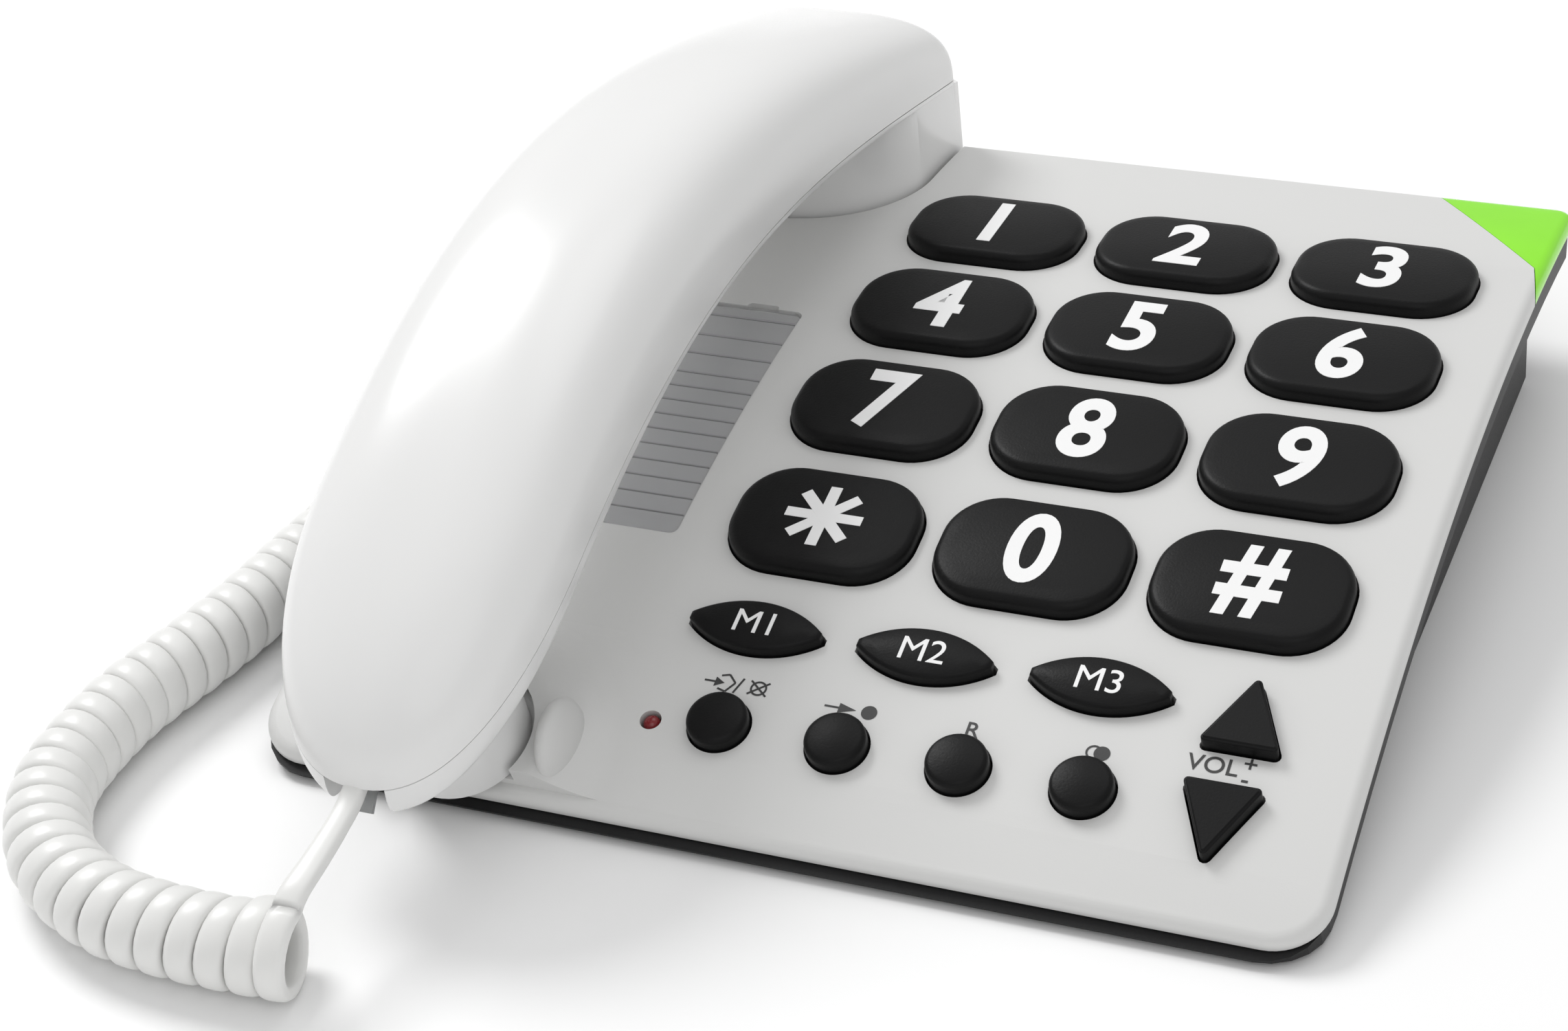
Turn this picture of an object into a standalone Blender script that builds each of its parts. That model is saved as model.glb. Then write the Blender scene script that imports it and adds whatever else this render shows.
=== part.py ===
"""A corded big-button desk telephone: base, handset, curly cord and what is inside them.

Most pieces are drawn in the deck frame, which an empty carries: X to the right, Y to the rear and
Z out of the keypad, with its origin on the shell under the middle digit key.  The deck is a
cylinder of DECK_RADIUS about a line along X, so a place on it is (x, s), with s the arc length.
"""
import math

import bmesh
import bpy
from mathutils import Matrix, Vector

# ---- driving dimensions, in metres ----
GAP = 0.0003                    # running gap between touching pieces
DECK_RADIUS = 0.360             # curvature of the keypad surface, front to rear
DECK_TILT = math.radians(3.0)   # deck frame against the table
DECK_ORIGIN = Vector((0.0270, 0.0352, 0.0310))
LEFT, RIGHT = -0.116, 0.062     # sides of the base
FRONT_S, REAR_S = -0.1205, 0.0702
PLATE = 0.0025                  # upper casing thickness
RIM_DEPTH = 0.0083              # underside of the lower casing's rim below the deck surface
RIM_INSET = 0.0007
FRONT_LIP = 0.0018              # how far the rim stands out in front of the upper casing
BODY_INSET = 0.0048             # the deep part of the lower casing stands in from the sides
BODY_FRONT, BODY_REAR = -0.112, 0.0515
WALL = 0.0020
FOOT_HEIGHT = 0.0011
KEY_PITCH_X, KEY_PITCH_S = 0.0360, 0.0293
KEY_SIZE = (0.0321, 0.0225, 0.0095)      # width, height and corner radius of a digit key
KEY_RISE = 0.0030
VOLUME_KEY_SIZE = (0.0130, 0.0134)
TRIANGLE_CORNER = 0.0006
KEY_TRAVEL = 0.0008
MEMORY_S, FUNCTION_S = -0.0822, -0.1009
PCB_TOP = (0.045, -0.0083)      # a point (y, z) of the board's upper face
PCB_SLOPE = math.atan2(0.0130, 0.150)
PCB_THICKNESS = 0.0010
PCB_LENGTH = 0.149
MAT_THICKNESS = 0.0008
FLANGE = 0.0006                 # thickness and overhang of the flange that keeps a key in the casing
FLANGE_REACH = 0.0009
HANDSET_X = -0.0793             # the handset's centre plane
HANDSET_HALF_WIDTH = 0.0223
HANDSET_FRONT, HANDSET_REAR = -0.142, 0.071
HANDSET_WALL = 0.0020
NOSE_LENGTH, TAIL_LENGTH = 0.040, 0.006
EAR_CENTRE_S, EAR_RADIUS = 0.0500, 0.0220
MOUTH_S, MOUTH_RADIUS = -0.1125, 0.0115
WELL_DEPTH = 0.0030
HOOK_AT = (HANDSET_X, 0.0430)
HOOK_TRAVEL = 0.0035
HOOK_PIVOT = (0.0300, -0.0155)  # y and z of the lever's pin
CARD_X, CARD_S = (-0.1000, -0.0612), (-0.0644, -0.0048)
LED_AT, LED_RADIUS = (-0.0506, -0.1022), 0.0015
SCREW_PLACES = ((-0.1000, -0.0800), (0.0290, -0.0935), (-0.0570, 0.0250), (0.0400, 0.0455))
FEET = {"foot_rear_right": (0.0520, 0.0400), "foot_rear_left": (-0.1030, 0.0440),
        "foot_front_right": (0.0380, -0.1040), "foot_front_left": (-0.0880, -0.1040)}
LINE_JACK_X, CORD_JACK_Y, JACK_Z = 0.0285, 0.0300, -0.0215
SWITCH_X = 0.0
RINGER_AT = (0.0200, 0.0220)
CRADLE_FLOOR = 0.0015          # bottom of the mouth cradle's cup above the deck surface
HANDSET_SCREWS_Y = (-0.0880, 0.0120)
SOCKET_MOUTH = Vector((-0.0800, -0.1420, -0.0016))
SOCKET_PITCH = math.radians(30.0)
CORD_WIDTH = 0.0036
COIL_DIAMETER = 0.0146
COIL_HEIGHT = 0.0075
CORD_SHIFT = Vector((0.0015, 0.0010, 0.0))
COIL_ROUTE = ((-0.0540, -0.1291), (-0.0642, -0.1293), (-0.0763, -0.1294), (-0.0875, -0.1280), (-0.0965, -0.1245),
              (-0.1042, -0.1191), (-0.1101, -0.1113), (-0.1138, -0.1026), (-0.1148, -0.0926), (-0.1144, -0.0818),
              (-0.1127, -0.0728), (-0.1105, -0.0634), (-0.1087, -0.0537), (-0.1076, -0.0450), (-0.1067, -0.0350),
              (-0.1050, -0.0200), (-0.1035, -0.0050), (-0.1025, 0.0100), (-0.1020, 0.0230), (-0.1020, 0.0350))
HANDSET_LEAD_ROUTE = ((-0.0545, -0.1034, 0.0240), (-0.0545, -0.1055, 0.0214), (-0.0545, -0.1078, 0.0196),
                      (-0.0544, -0.1115, 0.0182), (-0.0550, -0.1160, 0.0170), (-0.0562, -0.1205, 0.0150),
                      (-0.0568, -0.12365, 0.0129))
BASE_LEAD_ROUTE = ((-0.1020, 0.0353, 0.0075), (-0.1021, 0.0440, 0.0079), (-0.1010, 0.0520, 0.0088),
                   (-0.0982, 0.0592, 0.0099), (-0.0940, 0.0636, 0.0107), (-0.0900, 0.0652, 0.0111),
                   (-0.0868, 0.0653, 0.0112))

TABLE_SLOPE = Matrix.Rotation(-DECK_TILT, 4, "X")
COLLECTION = bpy.data.collections.new("big_button_phone")
CUTTERS = bpy.data.collections.new("cutters")
MATERIALS = {}


# ---- general helpers ----
def clear_scene():
    for obj in list(bpy.data.objects):
        bpy.data.objects.remove(obj, do_unlink=True)
    for collection in (COLLECTION, CUTTERS):
        bpy.context.scene.collection.children.link(collection)


def material(name, colour, roughness, metallic=0.0):
    if name not in MATERIALS:
        made = bpy.data.materials.new(name)
        made.use_nodes = True
        shader = made.node_tree.nodes["Principled BSDF"]
        shader.inputs["Base Color"].default_value = (*colour, 1.0)
        shader.inputs["Roughness"].default_value = roughness
        shader.inputs["Metallic"].default_value = metallic
        MATERIALS[name] = made
    return MATERIALS[name]


def white():
    return material("white_casing", (0.80, 0.80, 0.78), 0.35)


def dark_casing():
    return material("dark_casing", (0.05, 0.05, 0.055), 0.5)


def black_key():
    return material("black_key", (0.012, 0.012, 0.014), 0.45)


def steel():
    return material("steel", (0.55, 0.55, 0.56), 0.3, 1.0)


def clear_plastic():
    return material("clear_plastic", (0.75, 0.76, 0.75), 0.1)


def cord_grey():
    return material("cord", (0.74, 0.74, 0.71), 0.4)


def rubber():
    return material("rubber", (0.03, 0.03, 0.03), 0.8)


def bake(obj):
    """Replace the object's mesh with the result of its modifiers."""
    bpy.context.view_layer.update()
    graph = bpy.context.evaluated_depsgraph_get()
    mesh = bpy.data.meshes.new_from_object(obj.evaluated_get(graph))
    obj.modifiers.clear()
    old = obj.data
    obj.data = mesh
    bpy.data.meshes.remove(old)
    return obj


def from_bmesh(bm, name):
    bmesh.ops.recalc_face_normals(bm, faces=bm.faces)
    mesh = bpy.data.meshes.new(name)
    bm.to_mesh(mesh)
    bm.free()
    obj = bpy.data.objects.new(name, mesh)
    CUTTERS.objects.link(obj)
    return obj


def transform(obj, matrix):
    obj.data.transform(matrix)
    return obj


def finish(obj, name, mat, parent, origin=None, sharp=35.0):
    """Make the shape a part: name, material, parent and, for a moving piece, its own origin."""
    CUTTERS.objects.unlink(obj)
    COLLECTION.objects.link(obj)
    obj.name = name
    obj.data.name = name
    obj.data.materials.clear()
    obj.data.materials.append(mat)
    obj.data.shade_smooth()
    obj.data.set_sharp_from_angle(angle=math.radians(sharp))
    obj.parent = parent
    if origin is not None:
        obj.data.transform(Matrix.Translation(-origin))
        obj.location = origin
    return obj


def boolean(obj, other, operation):
    modifier = obj.modifiers.new(operation.lower(), "BOOLEAN")
    modifier.operation = operation
    modifier.solver = "EXACT"
    modifier.object = other
    bake(obj)
    bpy.data.objects.remove(other, do_unlink=True)
    return obj


def cut(obj, *others):
    for other in others:
        boolean(obj, other, "DIFFERENCE")
    return obj


def join(obj, *others):
    for other in others:
        boolean(obj, other, "UNION")
    return obj


def merged(pieces):
    """Several separate shapes as one cutter."""
    bm = bmesh.new()
    for piece in pieces:
        bm.from_mesh(piece.data)
        bpy.data.objects.remove(piece, do_unlink=True)
    return from_bmesh(bm, "cutter")


# ---- simple shapes ----
def box(low, high, bevel=0.0):
    bm = bmesh.new()
    bmesh.ops.create_cube(bm, size=1.0)
    size = Vector(high) - Vector(low)
    bmesh.ops.scale(bm, vec=size, verts=bm.verts)
    bmesh.ops.translate(bm, vec=(Vector(high) + Vector(low)) / 2, verts=bm.verts)
    if bevel:
        bmesh.ops.bevel(bm, geom=bm.edges[:], offset=bevel, segments=1, affect="EDGES")
    return from_bmesh(bm, "box")


def cylinder(radius, low, high, at=(0.0, 0.0), sides=16, top_radius=None):
    bm = bmesh.new()
    bmesh.ops.create_cone(bm, cap_ends=True, segments=sides, radius1=radius,
                          radius2=radius if top_radius is None else top_radius, depth=high - low)
    bmesh.ops.translate(bm, vec=(at[0], at[1], (low + high) / 2), verts=bm.verts)
    return from_bmesh(bm, "cylinder")


def turned(profile, steps=24):
    """A solid of revolution about Z, from a profile of (radius, z) that runs from top to bottom."""
    mesh = bpy.data.meshes.new("profile")
    mesh.from_pydata([(r, 0.0, z) for r, z in profile],
                     [(i, i + 1) for i in range(len(profile) - 1)], [])
    obj = bpy.data.objects.new("turned", mesh)
    CUTTERS.objects.link(obj)
    screw = obj.modifiers.new("turn", "SCREW")
    screw.steps = screw.render_steps = steps
    screw.use_merge_vertices = True
    screw.merge_threshold = 0.00001
    return bake(obj)


def extruded(points, low, high):
    """A flat outline with straight walls between two heights."""
    curve = bpy.data.curves.new("outline", "CURVE")
    curve.dimensions = "2D"
    curve.fill_mode = "BOTH"
    curve.extrude = (high - low) / 2
    spline = curve.splines.new("POLY")
    spline.points.add(len(points) - 1)
    for point, (x, y) in zip(spline.points, points):
        point.co = (x, y, 0.0, 1.0)
    spline.use_cyclic_u = True
    obj = bpy.data.objects.new("outline", curve)
    CUTTERS.objects.link(obj)
    bpy.context.view_layer.update()
    mesh = bpy.data.meshes.new_from_object(obj.evaluated_get(bpy.context.evaluated_depsgraph_get()))
    bpy.data.objects.remove(obj, do_unlink=True)
    bm = bmesh.new()
    bm.from_mesh(mesh)
    bpy.data.meshes.remove(mesh)
    bmesh.ops.remove_doubles(bm, verts=bm.verts, dist=0.000005)
    bmesh.ops.dissolve_limit(bm, angle_limit=0.001, verts=bm.verts, edges=bm.edges)
    bmesh.ops.translate(bm, vec=(0.0, 0.0, (high + low) / 2), verts=bm.verts)
    return from_bmesh(bm, "extruded")


def arc(cx, cy, radius, start, end, steps):
    """Points of a circular arc, with its angles in degrees."""
    return [(cx + radius * math.cos(math.radians(start + (end - start) * i / steps)),
             cy + radius * math.sin(math.radians(start + (end - start) * i / steps)))
            for i in range(steps + 1)]


def rounded_rect(low, high, radii, steps=4):
    """A rectangle with its own radius at each corner: front right, rear right, rear left, front left."""
    (x0, y0), (x1, y1) = low, high
    fr, rr, rl, fl = radii
    return (arc(x1 - fr, y0 + fr, fr, -90, 0, steps) + arc(x1 - rr, y1 - rr, rr, 0, 90, steps)
            + arc(x0 + rl, y1 - rl, rl, 90, 180, steps) + arc(x0 + fl, y0 + fl, fl, 180, 270, steps))


def key_outline(width, height, radius, grow=0.0, steps=4):
    w, h, r = width / 2 + grow, height / 2 + grow, radius + grow
    return rounded_rect((-w, -h), (w, h), (r, r, r, r), steps)


def lens_outline(width, height, grow=0.0, steps=7):
    """A pointed ellipse: two equal arcs that meet in blunt tips."""
    half, rise = width / 2, height / 2
    radius = (half * half + rise * rise) / (2 * rise) + grow
    centre = radius - grow - rise
    reach = math.degrees(math.acos((centre + 0.0006) / radius))
    lower = arc(0.0, centre, radius, -90 - reach, -90 + reach, steps)
    upper = arc(0.0, -centre, radius, 90 - reach, 90 + reach, steps)
    return lower + upper


def triangle_outline(width, height, grow=0.0, steps=3):
    """A triangle that points along +Y, with rounded corners."""
    corner = max(TRIANGLE_CORNER + grow, 0.0002)
    inset = TRIANGLE_CORNER - (grow if grow < -TRIANGLE_CORNER else 0.0)
    tips = [(-width / 2 + 1.7 * inset, -height / 2 + inset), (width / 2 - 1.7 * inset, -height / 2 + inset),
            (0.0, height / 2 - 2.0 * inset)]
    slope = math.degrees(math.atan2(tips[2][1] - tips[1][1], tips[1][0] - tips[2][0]))
    return (arc(*tips[0], corner, 180 - (90 - slope), 270, steps)
            + arc(*tips[1], corner, -90, 90 - slope, steps)
            + arc(*tips[2], corner, 90 - slope, 90 + slope, steps))


# ---- the deck's curvature ----
def deck_matrix(s, x=0.0, n=0.0, turn=0.0):
    """Frame whose Z is the deck's outward normal at (x, s), raised n above the surface."""
    angle = s / DECK_RADIUS
    place = Vector((x, (DECK_RADIUS + n) * math.sin(angle), (DECK_RADIUS + n) * math.cos(angle) - DECK_RADIUS))
    return Matrix.Translation(place) @ Matrix.Rotation(-angle, 4, "X") @ Matrix.Rotation(turn, 4, "Z")


def wrap(obj, step=0.012):
    """Bend a shape drawn flat, as (x, s, height above the deck), onto the deck's cylinder."""
    bm = bmesh.new()
    bm.from_mesh(obj.data)
    low = min(v.co.y for v in bm.verts)
    high = max(v.co.y for v in bm.verts)
    stations = int((high - low) / step)
    for i in range(1, stations + 1):
        bmesh.ops.bisect_plane(bm, geom=bm.verts[:] + bm.edges[:] + bm.faces[:], dist=0.000001,
                               plane_co=(0.0, low + (high - low) * i / (stations + 1), 0.0),
                               plane_no=(0.0, 1.0, 0.0))
    for v in bm.verts:
        angle = v.co.y / DECK_RADIUS
        reach = DECK_RADIUS + v.co.z
        v.co.y = reach * math.sin(angle)
        v.co.z = reach * math.cos(angle) - DECK_RADIUS
    bmesh.ops.triangulate(bm, faces=[f for f in bm.faces if len(f.verts) > 4])
    bm.to_mesh(obj.data)
    bm.free()
    return obj


def plan_outline(inset=0.0):
    radii = [max(0.001, r - inset) for r in (0.009, 0.0035, 0.0035, 0.009)]
    return rounded_rect((LEFT + inset, FRONT_S + inset), (RIGHT - inset, REAR_S - inset), radii, 5)


# ---- keys ----
def keys():
    """Name, kind, x, s and turn of every key on the deck."""
    rows = [("key_1", "key_2", "key_3"), ("key_4", "key_5", "key_6"),
            ("key_7", "key_8", "key_9"), ("key_star", "key_0", "key_hash")]
    listed = []
    for row, names in enumerate(rows):
        for column, name in enumerate(names):
            listed.append((name, "digit", (column - 1) * KEY_PITCH_X, (1 - row) * KEY_PITCH_S, 0.0))
    for i in range(3):
        listed.append((f"memory_key_{i + 1}", "memory", -0.0395 + 0.0289 * i, MEMORY_S, 0.0))
    for i, name in enumerate(("store_key", "redial_key", "recall_key", "mute_key")):
        listed.append((name, "function", -0.0392 + 0.0200 * i, FUNCTION_S, 0.0))
    listed.append(("volume_up_key", "volume", 0.0422, -0.0831, 0.0))
    listed.append(("volume_down_key", "volume", 0.0418, -0.1032, math.pi))
    return listed


def key_shape_outline(kind, grow=0.0):
    if kind == "digit":
        return key_outline(*KEY_SIZE, grow=grow)
    if kind == "memory":
        return lens_outline(0.0240, 0.0096, grow)
    if kind == "function":
        return arc(0.0, 0.0, 0.0050 + grow, 0, 360 - 360 / 16, 15)
    return triangle_outline(*VOLUME_KEY_SIZE, grow)


def pcb_z(y):
    return PCB_TOP[1] + (y - PCB_TOP[0]) * math.tan(PCB_SLOPE)


def make_key(name, kind, x, s, turn, deck):
    """Domed cap, a flange under the casing and a post that reaches down to the contact mat."""
    rise = {"digit": KEY_RISE, "memory": 0.0026, "function": 0.0030, "volume": 0.0026}[kind]
    flange_top = -(PLATE + GAP)
    flange_low = flange_top - FLANGE
    cap = extruded(key_shape_outline(kind), flange_top - 0.0002, rise)
    bm = bmesh.new()
    bm.from_mesh(cap.data)
    top = [e for e in bm.edges if all(v.co.z > rise - 0.00001 for v in e.verts)]
    lip = 0.0006 if kind == "volume" else 0.0012
    bmesh.ops.bevel(bm, geom=top, offset=lip, segments=2, profile=0.6, affect="EDGES")
    bm.to_mesh(cap.data)
    bm.free()
    flange = extruded(key_shape_outline(kind, FLANGE_REACH), flange_low, flange_top)
    join(cap, flange)
    frame = deck_matrix(s, x, 0.0, turn)
    mat_top = pcb_z(frame.translation.y) + GAP + MAT_THICKNESS
    post = -(frame.translation.z - mat_top) + KEY_TRAVEL + GAP + 0.0004
    if post < flange_low - 0.0003:
        join(cap, cylinder(0.0022, post, flange_low + 0.0001, sides=10))
    cap = transform(cap, frame)
    return finish(cap, name, black_key(), deck, origin=frame.translation)


# ---- base ----
def make_casing_and_lens(deck):
    """Upper casing with its openings, wells and card recess, and the ring indicator at its corner."""
    slab = extruded(plan_outline(), -PLATE, 0.0)
    bm = bmesh.new()
    bm.from_mesh(slab.data)
    rim = [e for e in bm.edges if all(v.co.z > -0.00001 for v in e.verts) and len(e.link_faces) == 2]
    bmesh.ops.bevel(bm, geom=rim, offset=0.0021, segments=1, affect="EDGES")
    bm.to_mesh(slab.data)
    bm.free()
    lens = slab.copy()
    lens.data = slab.data.copy()
    CUTTERS.objects.link(lens)

    def corner(offset):
        """Everything beyond the slanted joint between casing and indicator."""
        joint = [(0.0132, 0.0980), (0.0599, 0.0414), (0.0641, 0.0226)]
        outline = [(x + offset, s) for x, s in joint] + [(0.11, 0.0226), (0.11, 0.0980)]
        return extruded(outline, -0.01, 0.01)

    boolean(lens, corner(GAP / 2), "INTERSECT")
    cut(slab, corner(-GAP / 2))

    # ear well, open at the rear edge, with a floor below the deck
    def well(grow, low, high):
        radius = EAR_RADIUS + grow
        points = (arc(HANDSET_X, EAR_CENTRE_S, radius, 180, 360, 16)
                  + [(HANDSET_X + radius, REAR_S + 0.01), (HANDSET_X - radius, REAR_S + 0.01)])
        return extruded(points, low, high)

    floor = boolean(well(0.0028, -WELL_DEPTH - PLATE, -PLATE / 2),
                    extruded(plan_outline(0.0030), -0.02, 0.02), "INTERSECT")
    join(slab, floor)
    cut(slab, well(0.0010, -WELL_DEPTH, 0.01))
    # mouth rest: a mound with a cup in its top and a horn on each side of the cup
    mound = turned([(0.0, 0.0046), (0.0150, 0.0046), (0.0168, 0.0038), (0.0195, 0.0022), (0.0225, 0.0009),
                    (0.0262, 0.0), (0.0262, -0.0012), (0.0, -0.0012)], 32)
    boolean(mound, box((-0.05, FRONT_S - MOUTH_S + 0.0024, -0.02), (0.05, 0.05, 0.02)), "INTERSECT")
    join(slab, transform(mound, Matrix.Translation((HANDSET_X, MOUTH_S, 0.0))))
    for side in (-1, 1):
        bm = bmesh.new()
        bmesh.ops.create_uvsphere(bm, u_segments=16, v_segments=10, radius=1.0)
        bmesh.ops.scale(bm, vec=(0.0030, 0.0070, 0.0085), verts=bm.verts)
        bmesh.ops.translate(bm, vec=(HANDSET_X + side * 0.0168, MOUTH_S + 0.0020, 0.0018), verts=bm.verts)
        bmesh.ops.bisect_plane(bm, geom=bm.verts[:] + bm.edges[:] + bm.faces[:], clear_inner=True,
                               plane_co=(0.0, 0.0, -0.0008), plane_no=(0.0, 0.0, 1.0))
        bmesh.ops.holes_fill(bm, edges=[e for e in bm.edges if e.is_boundary])
        join(slab, from_bmesh(bm, "horn"))
    cup = cylinder(MOUTH_RADIUS + 0.0012, 0.0015, 0.02, at=(HANDSET_X, MOUTH_S), sides=24)
    # index card recess and its finger notch
    recess = extruded(rounded_rect((CARD_X[0] - 0.0004, CARD_S[0] - 0.0004),
                                   (CARD_X[1] + 0.0004, CARD_S[1] + 0.0004), [0.0015] * 4, 2), -0.0013, 0.01)
    notch = extruded(rounded_rect((-0.0718, CARD_S[1] - 0.0010), (-0.0658, CARD_S[1] + 0.0014), [0.0008] * 4, 2),
                     -0.0016, 0.01)
    cut(slab, cup, recess, notch)
    openings = []
    for _, kind, x, s, turn in keys():
        hole = extruded(key_shape_outline(kind, 0.0004), -0.02, 0.02)
        openings.append(transform(hole, Matrix.Translation((x, s, 0.0)) @ Matrix.Rotation(turn, 4, "Z")))
    openings.append(cylinder(LED_RADIUS + GAP, -0.02, 0.02, at=LED_AT, sides=12))
    openings.append(cylinder(0.0030, -0.02, 0.02, at=HOOK_AT, sides=12))
    cut(slab, merged(openings))
    for x, s in SCREW_PLACES:
        join(slab, cylinder(0.0036, -0.0075, -PLATE + 0.0006, at=(x, s), sides=10))
    screw_bores = merged([cylinder(0.0013, -0.02, -0.0012, at=place, sides=8) for place in SCREW_PLACES])
    cut(slab, screw_bores)
    finish(wrap(slab), "base_upper_casing", white(), deck)
    finish(wrap(lens), "ring_indicator_lens", material("green_lens", (0.30, 0.85, 0.02), 0.2), deck)


def table_level(y, height):
    """Deck-frame z of a point at y that stands at a height above the table."""
    return (height - DECK_ORIGIN.z - y * math.sin(DECK_TILT)) / math.cos(DECK_TILT)


def rim_outline(inset):
    """Plan of the lower casing's rim, whose front lip shows in front of the upper casing."""
    low, high = (LEFT + inset, FRONT_S - FRONT_LIP + inset - RIM_INSET), (RIGHT - inset, REAR_S - inset)
    radii = [max(0.001, r - inset) for r in (0.010, 0.0035, 0.0035, 0.010)]
    return rounded_rect(low, high, radii, 5)


def table_box(x, y, heights):
    """A box square to the table: x and y ranges in the deck frame, heights above the table."""
    solid = box((x[0], y[0], 0.0), (x[1], y[1], heights[1] - heights[0]))
    pivot = Vector((0.0, 0.0, table_level(0.0, heights[0])))
    return transform(solid, Matrix.Translation(pivot) @ TABLE_SLOPE)


def under_deck(depth, low=0.06):
    """All that lies more than depth below the deck surface."""
    sheet = extruded(rounded_rect((-0.2, -0.18), (0.2, 0.18), [0.001] * 4, 1), -low, -depth)
    return wrap(sheet, 0.014)


def make_lower_casing(deck):
    """Rim under the upper casing and the deep wedge that stands on the table."""
    shell = wrap(extruded(rim_outline(RIM_INSET), -RIM_DEPTH, -PLATE - GAP))
    body = box((LEFT + BODY_INSET, BODY_FRONT, -0.045), (RIGHT - BODY_INSET, BODY_REAR, 0.01))
    boolean(body, under_deck(PLATE + GAP), "INTERSECT")
    join(shell, body)
    cut(shell, table_box((-0.2, 0.2), (-0.2, 0.2), (-0.06, FOOT_HEIGHT)))
    rim_room = wrap(extruded(rim_outline(RIM_INSET + WALL), -RIM_DEPTH + WALL, 0.01))
    cut(rim_room, table_box((-0.2, 0.2), (-0.2, 0.2), (-0.06, FOOT_HEIGHT + WALL)))
    room = box((LEFT + BODY_INSET + WALL, BODY_FRONT + WALL, -0.045), (RIGHT - BODY_INSET - WALL, BODY_REAR - WALL, 0.02))
    cut(room, table_box((-0.2, 0.2), (-0.2, 0.2), (-0.06, FOOT_HEIGHT + WALL)))
    cut(shell, join(room, rim_room))
    # posts that the casing screws go up through
    for x, s in SCREW_PLACES:
        frame = deck_matrix(s, x)
        top = -0.0078
        low = table_level(frame.translation.y, FOOT_HEIGHT) - frame.translation.z
        post = transform(cylinder(0.0040, low - 0.002, top, sides=10), frame)
        cut(post, table_box((-0.2, 0.2), (-0.2, 0.2), (-0.06, FOOT_HEIGHT)))
        join(shell, post)
    sinks = [transform(cylinder(0.0017, -0.08, 0.0, sides=10), deck_matrix(s, x)) for x, s in SCREW_PLACES]
    sinks += [transform(cylinder(0.0027, -0.08, screw_head_level(s) + 0.0022 + GAP, sides=10), deck_matrix(s, x))
              for x, s in SCREW_PLACES]
    cut(shell, sinks[0], sinks[1], sinks[2], sinks[3])
    cut(shell, sinks[4], sinks[5], sinks[6], sinks[7])
    for x, y in ((-0.0380, 0.0330), (0.0390, 0.0330), (-0.0380, -0.0950), (0.0080, -0.0950)):
        top = pcb_z(y) - PCB_THICKNESS - GAP
        low = table_level(y, FOOT_HEIGHT + WALL / 2)
        join(shell, cylinder(0.0022, low, top - 0.0002, at=(x, y), sides=10))
    for side in (-1, 1):
        middle = HOOK_AT[0] + side * 0.0068
        bracket = box((middle - 0.0013, 0.0268, table_level(0.03, FOOT_HEIGHT + WALL / 2)), (middle + 0.0013, 0.0332, -0.0128))
        join(shell, bracket)
    bore = cylinder(0.0010, -0.0090, 0.0090, sides=10)
    cut(shell, transform(bore, Matrix.Translation((HOOK_AT[0], *HOOK_PIVOT)) @ Matrix.Rotation(math.pi / 2, 4, "Y")))
    # socket mouths, ringer switch slot and the ringer's sound holes
    mouths = [box((LINE_JACK_X - 0.0066, 0.045, JACK_Z - 0.0050), (LINE_JACK_X + 0.0066, 0.06, JACK_Z + 0.0050)),
              box((LEFT - 0.01, CORD_JACK_Y - 0.0058, JACK_Z - 0.0050), (LEFT + 0.0075, CORD_JACK_Y + 0.0058, JACK_Z + 0.0050)),
              box((SWITCH_X - 0.0055, 0.045, JACK_Z - 0.0016), (SWITCH_X + 0.0055, 0.06, JACK_Z + 0.0016))]
    cut(shell, merged(mouths))
    holes = []
    for i in range(7):
        angle = math.radians(60 * i)
        reach = 0.0 if i == 6 else 0.0065
        at = (RINGER_AT[0] + reach * math.cos(angle), RINGER_AT[1] + reach * math.sin(angle))
        holes.append(transform(cylinder(0.0012, -0.01, 0.01, sides=8),
                               Matrix.Translation((at[0], at[1], table_level(at[1], FOOT_HEIGHT))) @ TABLE_SLOPE))
    cut(shell, merged(holes))
    finish(shell, "base_lower_casing", dark_casing(), deck)


def screw_head_level(s):
    """Height, in the screw's own frame, of the underside of a casing screw's head."""
    frame = deck_matrix(s)
    return table_level(frame.translation.y, FOOT_HEIGHT) - frame.translation.z + 0.0008


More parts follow.
